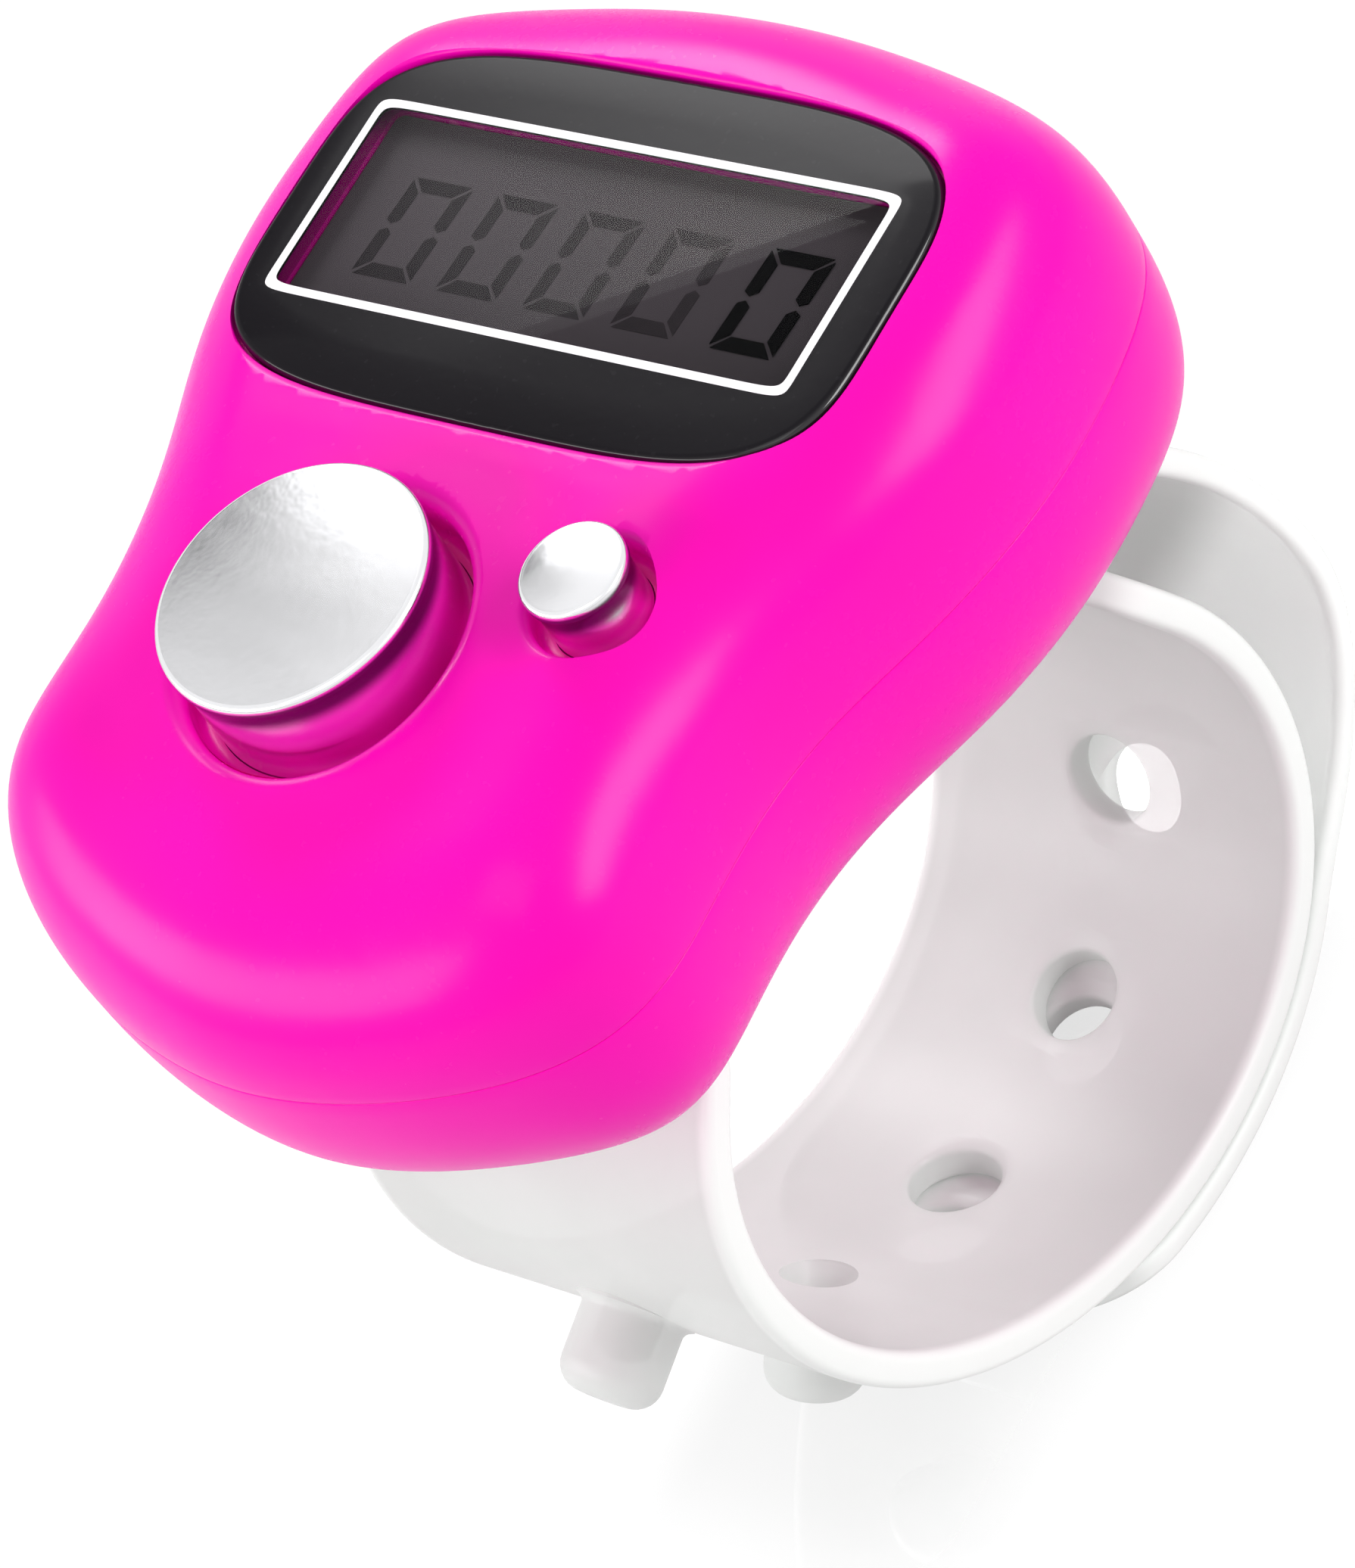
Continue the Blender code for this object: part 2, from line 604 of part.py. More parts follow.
def case_screw_places():
    return (('case_screw_left', -CASE_SCREW_X, CASE_SCREW_TOP_Y),
            ('case_screw_right', CASE_SCREW_X, CASE_SCREW_TOP_Y),
            ('case_screw_end', 0.0, CASE_SCREW_BOTTOM_Y))


def case_screw_seat():
    return UNDERSIDE + CASE_SCREW_SINK + CASE_SCREW_HEAD_HEIGHT + STACK_GAP


def case_screw_tip():
    return UNDERSIDE + CASE_SCREW_SINK + CASE_SCREW_HEAD_HEIGHT + CASE_SCREW_LENGTH


def board_screw_places():
    return (('board_screw_left', -BOARD_SCREW_X, BOARD_SCREW_Y),
            ('board_screw_right', BOARD_SCREW_X, BOARD_SCREW_Y))


def long_root_y():
    """Where the line that leaves the oval at the long strap's root meets the underside."""
    start = oval_point(LONG_ROOT_ANGLE, LONG_STRAP_THICK / 2)
    normal = oval_normal(LONG_ROOT_ANGLE)
    along = Vector((-normal.y, normal.x))
    if along.y < 0:
        along = -along
    return start.x + along.x / along.y * (UNDERSIDE - start.y) * LONG_ROOT_SHARE


def short_root_y():
    """Where the short strap leaves the underside, a little inside its bulge."""
    start = oval_point(SHORT_ROOT_ANGLE, short_strap_offset(SHORT_ROOT_ANGLE))
    return start.x - (UNDERSIDE - start.y) * SHORT_ROOT_SHARE


def strap_roots():
    """Each strap's name, the place of its slot and its thickness."""
    return (('long_strap', long_root_y(), LONG_STRAP_THICK),
            ('short_strap', short_root_y(), SHORT_STRAP_THICK))


def count_button(look):
    """Chromed cap on a retaining flange, with a nub that works its switch."""
    return button('count_button', COUNT_X, COUNT_Y, COUNT_DIAMETER, COUNT_PROUD, COUNT_WELL_DEPTH, look)


def reset_button(look):
    """Small chromed cap of the same build."""
    return button('reset_button', RESET_X, RESET_Y, RESET_DIAMETER, RESET_PROUD, RESET_WELL_DEPTH, look)


def button(name, x, y, diameter, proud, well_depth, look):
    radius = diameter / 2
    flange_top = -well_depth - WELL_FLOOR - FIT_GAP
    flange_base = flange_top - FLANGE_THICK
    nub_base = PLUNGER_TOP + STACK_GAP
    crown = CAP_EDGE * CROWN_SHARE
    edge = radius - CAP_EDGE
    profile = [(0, proud)]
    profile += [(edge * out, proud - crown * down) for out, down in CROWN_PROFILE_SHARES]
    profile += [(radius - CAP_EDGE * CROWN_ROUND_SHARE, proud - crown), (radius, proud - crown - CAP_EDGE),
                (radius, flange_top), (radius + FLANGE_STEP, flange_top), (radius + FLANGE_STEP, flange_base),
                (NUB_DIAMETER / 2, flange_base), (NUB_DIAMETER / 2, nub_base), (0, nub_base)]
    made = turned(name, 0.0, 0.0, profile, look)
    return place_on_axis(made, x, y, proud)


def place_on_axis(obj, x, y, level):
    """Puts an object that was made round the Z axis on its own axis, origin and all."""
    lift = (level + FACE_Z) * MM
    obj.data.transform(Matrix.Translation((0, -SHIFT_Y * MM, -lift)))
    obj.location = (x * MM, (y + SHIFT_Y) * MM, lift)
    return obj


def display_window(look):
    """Clear cover with large corners, a little below the face."""
    return prism('display_window', window_outline(), -WINDOW_SINK - WINDOW_THICK, -WINDOW_SINK, look)


def display_parts(looks):
    """Display cell of two glasses and a reflector, in its holder, with the rubber connector."""
    half = GLASS_WIDTH / 2
    low = DISPLAY_Y - GLASS_HEIGHT / 2
    high = DISPLAY_Y + GLASS_HEIGHT / 2
    front = rectangle(-half, half, low - GLASS_LEDGE, high)
    prism('lcd_front_glass', front, GLASS_UNDER, GLASS_TOP, looks['glass'])
    prism('lcd_rear_glass', rectangle(-half, half, low, high), REAR_UNDER, REAR_TOP, looks['rear_glass'])
    prism('lcd_reflector', rectangle(-half, half, low, high), REFLECTOR_TOP - REFLECTOR_THICK, REFLECTOR_TOP,
          looks['reflector'])
    gap = RUN_GAP
    inside = rectangle(-half - gap, half + gap, low - GLASS_LEDGE - gap, high + gap)
    wall = gap + HOLDER_WALL
    outside = rounded_polygon(rectangle(-half - wall, half + wall, low - GLASS_LEDGE - wall, high + wall),
                              HOLDER_WALL)
    base = BOARD_TOP + STACK_GAP
    holder = prism('lcd_holder', outside, base, GLASS_UNDER + GLASS_THICK / 2, looks['holder'])
    cut(holder, prism('holder_pocket', inside, base - OVERRUN, OVERRUN))
    zebra = ZEBRA_WIDTH / 2
    middle = low - GLASS_LEDGE / 2
    prism('zebra_strip', rectangle(-zebra, zebra, middle - ZEBRA_THICK / 2, middle + ZEBRA_THICK / 2), base,
          GLASS_UNDER - STACK_GAP, looks['rubber'])


def circuit_board(look):
    """Board that narrows towards the buttons, with a hole for each screw."""
    top = BOARD_TOP_WIDTH / 2
    wide = BOARD_MIDDLE_WIDTH / 2
    low = BOARD_BOTTOM_WIDTH / 2
    middle_high = DISPLAY_Y
    middle_low = DISPLAY_Y - GLASS_HEIGHT / 2
    corners = [(-low, BOARD_BOTTOM_Y), (low, BOARD_BOTTOM_Y), (low + BOARD_CORNER, COUNT_Y),
               (wide, middle_low), (wide, middle_high), (top, BOARD_TOP_Y), (-top, BOARD_TOP_Y),
               (-wide, middle_high), (-wide, middle_low), (-low - BOARD_CORNER, COUNT_Y)]
    outline = rounded_polygon(corners, BOARD_CORNER, steps=3)
    board = prism('circuit_board', outline, BOARD_BOTTOM, BOARD_TOP, look)
    for name, x, y in board_screw_places():
        radius = BOARD_SCREW_DIAMETER / 2 + RUN_GAP
        profile = [(radius, BOARD_BOTTOM - OVERRUN), (radius, BOARD_TOP + OVERRUN)]
        cut(board, turned(name + '_hole', x, y, profile, steps=SMALL_ROUND_STEPS))
    return board


def board_parts(looks):
    """Chip under its resin drop, and two small capacitors, on the board's upper side."""
    base = BOARD_TOP + STACK_GAP
    radius = CHIP_DIAMETER / 2
    drop_profile = [(radius * out, base + CHIP_HEIGHT * up) for out, up in CHIP_PROFILE_SHARES]
    turned('chip_drop', 0.0, CHIP_Y, drop_profile, looks['resin'], steps=SMALL_ROUND_STEPS)
    length = CAPACITOR_LENGTH / 2
    width = CAPACITOR_WIDTH / 2
    for name, x in (('capacitor_left', -CAPACITOR_X), ('capacitor_right', CAPACITOR_X)):
        prism(name, rectangle(x - length, x + length, CAPACITOR_Y - width, CAPACITOR_Y + width), base,
              base + CAPACITOR_WIDTH, looks['capacitor'])


def switches(looks):
    """A base with a bore, and a plunger in it, under each button."""
    base = BOARD_TOP + STACK_GAP
    for name, x, y, size in (('count', COUNT_X, COUNT_Y, COUNT_SWITCH_SIZE),
                             ('reset', RESET_X, RESET_Y, RESET_SWITCH_SIZE)):
        half = size / 2
        square = rectangle(x - half, x + half, y - half, y + half)
        block = prism(name + '_switch_base', square, base, SWITCH_TOP, looks['switch'])
        bore = SWITCH_BORE / 2
        cut(block, turned(name + '_switch_bore', x, y,
                          [(bore, SWITCH_TOP - SWITCH_BORE_DEPTH), (bore, SWITCH_TOP + OVERRUN)],
                          steps=SMALL_ROUND_STEPS))
        radius = PLUNGER_DIAMETER / 2
        made = turned(name + '_switch_plunger', 0.0, 0.0, [(radius, PLUNGER_BASE), (radius, PLUNGER_TOP)],
                      looks['plunger'], steps=SMALL_ROUND_STEPS)
        place_on_axis(made, x, y, PLUNGER_TOP)


def cell_and_contacts(looks):
    """Button cell between a contact above it and a contact under it."""
    plus_top = BOARD_BOTTOM - STACK_GAP
    plus_base = plus_top - CONTACT_THICK
    cell_top = plus_base - STACK_GAP
    cell_base = cell_top - CELL_HEIGHT
    radius = CELL_DIAMETER / 2
    turned('button_cell', 0.0, CELL_Y,
           [(0, cell_top), (radius - CELL_EDGE, cell_top), (radius, cell_top - CELL_EDGE),
            (radius, cell_base + CELL_EDGE * 2), (radius - CELL_EDGE * 2, cell_base + CELL_EDGE * 2),
            (radius - CELL_EDGE * 3, cell_base), (0, cell_base)], looks['cell'])
    half = CONTACT_WIDTH / 2
    plus = rectangle(-CONTACT_REACH, radius / 2, CELL_Y - half, CELL_Y + half)
    prism('positive_contact', plus, plus_base, plus_top, looks['contact'])
    strip_top = cell_base - STACK_GAP
    strip_base = strip_top - CONTACT_THICK
    post = CONTACT_REACH - CONTACT_THICK
    section = [(-radius / 2, strip_base), (CONTACT_REACH, strip_base), (CONTACT_REACH, plus_top),
               (post, plus_top), (post, strip_top), (-radius / 2, strip_top)]
    loft('negative_contact', [[(x, CELL_Y - half, z) for x, z in section],
                              [(x, CELL_Y + half, z) for x, z in section]], looks['contact'])


def screw(name, x, y, head_base, head_height, head, shank, length, look, steps=SMALL_ROUND_STEPS):
    """Pan-head screw driven upwards, with a cross slot in its head."""
    neck = head_base + head_height
    profile = [(0, head_base), (head / 2 * HEAD_FLAT_SHARE, head_base),
               (head / 2, head_base + head_height * HEAD_ROUND_SHARE),
               (head / 2, neck), (shank / 2, neck), (shank / 2, neck + length - shank / 2), (0, neck + length)]
    made = turned(name, x, y, profile, look, steps)
    reach = head / 2 * DRIVE_REACH_SHARE
    half = DRIVE_WIDTH / 2
    low = head_base - OVERRUN
    high = head_base + DRIVE_DEPTH
    cross = [(-reach, -half), (-half, -half), (-half, -reach), (half, -reach), (half, -half), (reach, -half),
             (reach, half), (half, half), (half, reach), (-half, reach), (-half, half), (-reach, half)]
    cut(made, prism(name + '_drive', [(x + a, y + b) for a, b in cross], low, high))
    return made


def screws(look):
    """Case screws in the underside, and board screws under the board."""
    for name, x, y in case_screw_places():
        screw(name, x, y, UNDERSIDE + CASE_SCREW_SINK, CASE_SCREW_HEAD_HEIGHT, CASE_SCREW_HEAD,
              CASE_SCREW_DIAMETER, CASE_SCREW_LENGTH, look)
    for name, x, y in board_screw_places():
        base = BOARD_BOTTOM - STACK_GAP - BOARD_SCREW_HEAD_HEIGHT
        screw(name, x, y, base, BOARD_SCREW_HEAD_HEIGHT, BOARD_SCREW_HEAD, BOARD_SCREW_DIAMETER,
              BOARD_SCREW_LENGTH, look)


def strap_sections(middle, thick):
    """Cross sections along a strap's middle line, drawn in to a rounded tip at its free end."""
    lengths = [0.0]
    for a, b in zip(middle, middle[1:]):
        lengths.append(lengths[-1] + (b - a).length)
    total = lengths[-1]
    sections = []
    for i, point in enumerate(middle):
        before = middle[max(0, i - 1)]
        after = middle[min(len(middle) - 1, i + 1)]
        along = (after - before).normalized()
        side = Vector((-along.y, along.x)) * (thick / 2)
        left = total - lengths[i]
        share = min(1.0, left / STRAP_TIP_LENGTH)
        round_share = math.sqrt(1.0 - (1.0 - share) ** 2)
        half = STRAP_WIDTH / 2 * (TIP_END_SHARE + (1.0 - TIP_END_SHARE) * round_share)
        one, two = point + side, point - side
        sections.append([(-half, one.x, one.y), (half, one.x, one.y),
                         (half, two.x, two.y), (-half, two.x, two.y)])
    return sections


def angle_steps(start, end):
    """Angles from start to end in steps of the strap's own size."""
    count = max(2, round(abs(end - start) / STRAP_STEP_ANGLE))
    return [start + (end - start) * i / count for i in range(count + 1)]


def root_line(slot_y, first, towards):
    """Points from the anchor down through the slot, bending into the strap's first stretch."""
    inside = Vector((slot_y, FLOOR_TOP + STACK_GAP + ANCHOR_THICK))
    mouth = Vector((slot_y, UNDERSIDE - ROOT_STRAIGHT))
    reach = (first - mouth).length / 2
    out = [inside, Vector((slot_y, FLOOR_TOP)), Vector((slot_y, UNDERSIDE)), mouth]
    handle_a = mouth + Vector((0, -reach))
    handle_b = first - towards * reach
    for t in (0.25, 0.5, 0.75):
        s = 1 - t
        out.append(mouth * s ** 3 + handle_a * (3 * s * s * t) + handle_b * (3 * s * t * t) + first * t ** 3)
    return out


def with_fine_tip(middle):
    """Adds points to the last stretch, so that the tip is round."""
    lengths = [(b - a).length for a, b in zip(middle, middle[1:])]
    out = list(middle)
    left = STRAP_TIP_LENGTH
    cut_at = len(middle) - 1
    while cut_at > 1 and left > 0:
        left -= lengths[cut_at - 1]
        cut_at -= 1
    tail = out[cut_at:]
    fine = [tail[0]]
    for a, b in zip(tail, tail[1:]):
        fine.extend(a.lerp(b, (j + 1) / STRAP_TIP_STEPS) for j in range(STRAP_TIP_STEPS))
    return out[:cut_at] + fine


def strap(name, middle, thick, look):
    """A strap solid with its anchor bar, from the anchor to the rounded tip."""
    made = loft(name, strap_sections(with_fine_tip(middle), thick), look, smooth_angle=40)
    slot_y = middle[0].x
    half = STRAP_WIDTH / 2 + ANCHOR_SIDE
    low = FLOOR_TOP + STACK_GAP
    heel = slot_y + math.copysign(thick / 2, slot_y)
    toe = slot_y - math.copysign(thick / 2 + ANCHOR_FOOT, slot_y)
    join(made, prism(name + '_anchor', rectangle(-half, half, min(heel, toe), max(heel, toe)),
                     low, low + ANCHOR_THICK))
    return made


def radial_tool(name, angle, profile):
    """Turned tool whose axis is the oval's normal at an angle; heights count from the oval outwards."""
    normal = oval_normal(angle)
    base = oval_point(angle)
    rings = []
    for radius, height in profile:
        centre = base + normal * height
        if radius == 0:
            rings.append([(0.0, centre.x, centre.y)])
            continue
        ring = []
        for i in range(SMALL_ROUND_STEPS):
            turn = math.tau * i / SMALL_ROUND_STEPS
            side = radius * math.sin(turn)
            ring.append((radius * math.cos(turn), centre.x - normal.y * side, centre.y + normal.x * side))
        rings.append(ring)
    return loft(name, rings, smooth_angle=40)


def long_strap(look):
    """Strap from the lower end of the body, round the finger and up under the body again."""
    mid = LONG_STRAP_THICK / 2
    arc = [oval_point(a, mid) for a in angle_steps(LONG_ROOT_ANGLE, LONG_ARC_END_ANGLE)]
    onwards = (arc[-1] - arc[-2]).normalized() * (LONG_TAIL_LENGTH / LONG_TAIL_STEPS)
    arc += [arc[-1] + onwards * (i + 1) for i in range(LONG_TAIL_STEPS)]
    towards = (arc[1] - arc[0]).normalized()
    middle = root_line(long_root_y(), arc[0], towards) + arc
    made = strap('long_strap', middle, LONG_STRAP_THICK, look)
    radius = PEG_DIAMETER / 2
    for i, angle in enumerate(PEG_ANGLES):
        top = LONG_STRAP_THICK + PEG_LENGTH
        join(made, radial_tool('peg_%d' % (i + 1), angle,
                               [(radius, mid), (radius, top - PEG_EDGE),
                                (radius - PEG_EDGE * PEG_ROUND_SHARE, top - PEG_EDGE * PEG_ROUND_SHARE),
                                (radius - PEG_EDGE, top), (0, top)]))
        cut(made, radial_tool('peg_bore_%d' % (i + 1), angle,
                              [(PEG_BORE / 2, -OVERRUN), (PEG_BORE / 2, PEG_BORE_DEPTH)]))
    for i, angle in enumerate(HOLE_ANGLES):
        profile = [(HOLE_DIAMETER / 2, -OVERRUN), (HOLE_DIAMETER / 2, LONG_STRAP_THICK + OVERRUN)]
        cut(made, radial_tool('long_hole_%d' % (i + 1), angle, profile))
    return made


def short_strap(look):
    """Strap from the upper end of the body, bulging out and closing on the long strap."""
    arc = [oval_point(a, short_strap_offset(a)) for a in angle_steps(SHORT_ROOT_ANGLE, SHORT_TIP_ANGLE)]
    towards = (arc[1] - arc[0]).normalized()
    middle = root_line(short_root_y(), arc[0], towards) + arc
    made = strap('short_strap', middle, SHORT_STRAP_THICK, look)
    inner = LONG_STRAP_THICK
    for i, angle in enumerate(HOLE_ANGLES):
        outer = short_strap_offset(angle) + OVERRUN
        cut(made, radial_tool('short_hole_%d' % (i + 1), angle,
                              [(HOLE_DIAMETER / 2, inner), (HOLE_DIAMETER / 2, outer)]))
    return made


def clear_scene():
    for obj in list(bpy.data.objects):
        bpy.data.objects.remove(obj, do_unlink=True)


def main():
    clear_scene()
    shell = material('magenta_plastic', (0.93, 0.0, 0.48), 0.32)
    clear = material('clear_window', (0.02, 0.02, 0.022), 0.08, alpha=0.5)
    chrome = material('chromed_plastic', (0.86, 0.86, 0.88), 0.12, 1.0)
    milky = material('milky_strap', (0.72, 0.70, 0.72), 0.4)
    steel = material('screw_steel', (0.60, 0.60, 0.62), 0.3, 1.0)
    looks = {
        'glass': material('display_glass', (0.35, 0.36, 0.36), 0.1, alpha=0.5),
        'rear_glass': material('rear_glass', (0.32, 0.33, 0.33), 0.15),
        'reflector': material('reflector_film', (0.30, 0.30, 0.31), 0.5, 0.6),
        'holder': material('holder_plastic', (0.75, 0.75, 0.74), 0.5),
        'rubber': material('striped_rubber', (0.06, 0.06, 0.07), 0.7),
        'resin': material('chip_resin', (0.02, 0.02, 0.02), 0.35),
        'capacitor': material('capacitor_ceramic', (0.45, 0.33, 0.20), 0.5),
        'switch': material('switch_plastic', (0.05, 0.05, 0.06), 0.5),
        'plunger': material('plunger_plastic', (0.5, 0.05, 0.04), 0.5),
        'cell': material('cell_steel', (0.66, 0.66, 0.68), 0.25, 1.0),
        'contact': material('contact_nickel', (0.70, 0.66, 0.58), 0.3, 1.0),
    }
    top_shell(shell)
    bottom_shell(shell)
    display_window(clear)
    display_parts(looks)
    circuit_board(material('board_laminate', (0.03, 0.22, 0.08), 0.5))
    board_parts(looks)
    switches(looks)
    cell_and_contacts(looks)
    screws(steel)
    count_button(chrome)
    reset_button(chrome)
    long_strap(milky)
    short_strap(milky)


main()
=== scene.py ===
import json

import bmesh
import bpy
import numpy as np
from mathutils import Matrix, Vector

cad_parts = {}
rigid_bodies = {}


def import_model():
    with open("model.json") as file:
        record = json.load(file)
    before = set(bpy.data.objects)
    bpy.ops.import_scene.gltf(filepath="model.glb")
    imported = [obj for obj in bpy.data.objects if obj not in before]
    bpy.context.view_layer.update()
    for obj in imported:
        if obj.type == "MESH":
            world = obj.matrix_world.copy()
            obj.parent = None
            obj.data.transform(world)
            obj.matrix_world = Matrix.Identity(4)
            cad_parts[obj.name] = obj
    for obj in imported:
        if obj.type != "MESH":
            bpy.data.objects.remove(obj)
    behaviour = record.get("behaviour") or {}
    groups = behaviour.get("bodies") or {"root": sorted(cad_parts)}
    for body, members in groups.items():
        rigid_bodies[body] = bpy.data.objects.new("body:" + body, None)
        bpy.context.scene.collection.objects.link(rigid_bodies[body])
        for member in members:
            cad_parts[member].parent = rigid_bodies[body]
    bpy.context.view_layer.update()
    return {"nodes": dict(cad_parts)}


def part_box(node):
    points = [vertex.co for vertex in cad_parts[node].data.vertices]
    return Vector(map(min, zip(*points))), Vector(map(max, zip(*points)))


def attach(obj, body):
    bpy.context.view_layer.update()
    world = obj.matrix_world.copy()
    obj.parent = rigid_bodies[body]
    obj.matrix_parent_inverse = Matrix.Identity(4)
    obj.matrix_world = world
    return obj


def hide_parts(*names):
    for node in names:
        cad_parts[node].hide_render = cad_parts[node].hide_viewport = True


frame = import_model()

bl_info = {
    "name": "Finger counter",
    "version": (1, 0, 0),
    "blender": (4, 5, 0),
    "location": "3D View > Sidebar > Counter",
    "description": "Dresses the packed finger-worn tally counter for a photograph",
    "category": "Object",
}

MM = 0.001
FACE_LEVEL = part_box("top_shell")[1].z / MM
GLASS_MIDDLE = (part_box("lcd_rear_glass")[0].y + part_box("lcd_rear_glass")[1].y) / 2 / MM
DRAWN_GLASS_MIDDLE = 5.593
SHIFT_Y = GLASS_MIDDLE - DRAWN_GLASS_MIDDLE
CASE = "case"
# Degrees between two faces from which their edge is shaded sharp
SHARP = 35.0
WINDOW_SHARP = 30
CAP_SHARP = 28
STRAP_SHARP = 40

# Body: sizes in millimetres, heights counted from the face
TOP_DEPTH = 5.5
BODY_DEPTH = 11.4
SEAM = 0.004
SHOULDER = 4.3
SHOULDER_POWER = 2.5
BASE_SHOULDER = 4.2
BASE_POWER = 2.7
SEAM_ROUND = 0.05
SEAM_STEPS = ((0.1, 0.5), (0.4, 0.15), (1.0, 0.0))
WALL = 1.45
CEILING = 2.0
CEILING_INSET = 2.8
CEILING_STEP = 1.2
FLOOR = 1.2
FLOOR_INSET = 2.6
FLOOR_STEP = 2.2
LAP_INSET = 0.95
LAP_HEIGHT = 0.75
LAP_GAP = 0.15
CUT_LEVEL = -4.5
FACE_DROP = 1.8
DROP_START = -2.0
DISH_DEPTH = 0.13
DISH_RADIUS = 6.5
DISH_WIDTH = 1.4
DISH_FADE = (-1.0, 6.0)
CASE_SCREWS = ("case_screw_left", "case_screw_right", "case_screw_end")
SCREW_BORE = ((0, -BODY_DEPTH - 1), (1.5, -BODY_DEPTH - 1), (1.3, -BODY_DEPTH + 0.25), (1.3, -8.85),
              (0.9, -8.85), (0.9, -4.0), (0, -4.0))
AROUND = 384
OUTLINE_WAVES = 16
NORMAL_WAVES = 7
OUTLINE = (
    (0.000, 1.000), (0.226, 0.993), (0.451, 0.970), (0.676, 0.923), (0.876, 0.828), (0.973, 0.659),
    (1.001, 0.452), (0.978, 0.239), (0.898, 0.016), (0.817, -0.167), (0.791, -0.362),
    (0.798, -0.533), (0.790, -0.652), (0.722, -0.762), (0.576, -0.863), (0.342, -0.950), (0.000, -1.000),
)

# Window and display
DISPLAY_Y = 5.6
WINDOW_Y = 5.3
WINDOW_HALF = (9.62, 5.5)
WINDOW_POWER = 4.0
WINDOW_GAP = 0.07
WINDOW_TOP = -0.1
WINDOW_UNDER = -0.65
PRINT_THICK = 0.065
PRINT_EDGE = 0.3
# Metres under the window's top between which its coat thins
COAT_FADE = (0.00009, 0.00001)
EDGE_ROUND = 0.2
SEAT = -0.68
# The window's seat from the top down: growth of the outline and height
POCKET = ((0.45, 1.0), (0.45, 0.08), (0.10, -0.03), (0.03, -0.08), (0, -0.16), (0, SEAT))
DISPLAY_TOP = -0.78
INK_LEVEL = DISPLAY_TOP + 0.002
PANE_GAP = 0.01
PANE_EDGE_GAP = 0.02
FRAME_HALF = (8.36, 3.1)
FRAME_LINE = 0.23
LINE_LEVELS = (0.012, 0.012, 0.001, 0.001)
FRAME_SHIFT = (-0.18, -0.11)
FRAME_MIDDLE = np.array([FRAME_SHIFT[0], DISPLAY_Y + FRAME_SHIFT[1]])
FRAME_POWER = 30.0
FRAME_COUNT = 960
WINDOW_COUNT = 1440
OPENING_GROW = (0.33, 0.17)
PANE_MIRROR = 0.0026
PANE_TINT = 0.7
DIGIT_PITCH = 2.81
DIGIT_SIZE = (1.95, 3.1)
DIGIT_STROKE = 0.41
DIGIT_GAP = 0.07
DIGIT_LEAN = 0.05
LAST_DIGIT_X = 4.77
IDLE_SHIFT = -0.3
DIGIT_BASE_Y = -1.85

# Buttons and their wells
WELL_CORNER = 0.25
WELL_STRAIGHT = 0.6
WELL_FLOOR = 0.7
FLARE_START = 18
BORE_GAP = 0.02
CAP_SKIRT = 0.22
CAP_STEP = 0.1
CAP_DOME = 0.05
CAP_FLANGE = 0.4
FLANGE_THICK = 0.5
FLANGE_GAP = 0.3
NUB_RADIUS = 0.75
# Node, piece, well radius, well depth, lip of the well and rim of the cap
BUTTONS = (
    ("count_button", "count_cap", 3.95, 1.55, 0.5, 0.16),
    ("reset_button", "reset_cap", 1.66, 0.95, 0.25, 0.13),
)

# Strap ring
RING_RADII = (12.10, 9.40)
RING_LEAN = -40.0
RING_CENTRE = (-0.2, -22.6)
STRAP_WIDTH = 12.6
STRAP_ROUND = 0.28
LONG_THICK = 1.0
SHORT_THICK = 0.8
STRAP_GAP = 0.08
WING_GAP = 2.8
WING_ANGLES = (-8.0, 36.0)
TIP_LENGTH = 4.6
TIP_SHARE = 0.35
PATH_STEP = 0.2
PATH_END = (0.9, 0.7, 0.5, 0.35, 0.22, 0.12, 0.05, 0.0)
ANCHOR_THICK = 0.9
ANCHOR_TOE = 0.9
ANCHOR_SIDE = 0.5
ANCHOR_LEVEL = -BODY_DEPTH + FLOOR + 0.15
SLOT_GAP = 0.15
SLOT_TOP = -9.0
HOLE_ANGLES = (7.0, -30.0, -65.0)
HOLE_RADIUS = 1.3
HOLE_EDGE = 0.2
PEG_ANGLES = (-94.0, -131.0)
PEG_RADIUS = 1.4
PEG_LENGTH = 2.4
PEG_EDGE = 0.75
PEG_FOOT = 0.25
PEG_BORE = ((0, -1), (1.3, -1), (1.05, 0.05), (0.85, 0.3), (0.8, LONG_THICK + 1.0), (0.4, LONG_THICK + 1.3),
            (0, LONG_THICK + 1.35))

# Node, name, root, thickness, ends round the ring, straight tail and shift of the holes
STRAPS = (
    ("long_strap", "long", -8.55, LONG_THICK, (-180.0, 60.0), 5.6, 0.0),
    ("short_strap", "short", 9.32, SHORT_THICK, (80.0, -79.0), 0.0, -5.0),
)

# Camera, fitted to the photograph
CAMERA_PLACE = (108.4, -64.0, 149.95)
CAMERA_RIGHT = (0.772, 0.483, -0.415)
CAMERA_UP = (-0.200, 0.803, 0.562)
CAMERA_LENS = 161.9

# Lamps: name, place, direction of the long side, size and power, in millimetres and watts
LAMPS = (
    ("key", (70, -110, 270), (1, 0, 0), (180, 140), 0.10),
    ("low_strip", (-124, -186, 122), (270, -150, 40), (310, 100), 0.50),
    ("side_strip", (236, 92, 150), (128, -146, -115), (220, 85), 0.54),
)
LAMP_AIM = (0, 0, 28)
CARD_LOW = (-154.8, 103.9, 202.9)
CARD_HIGH = (-141.7, 115.5, 204.8)
CARD_FACING = (0.62, -0.40, -0.67)
CARD_SIZE = (150, 80)
CARD_GLOW = 13.0
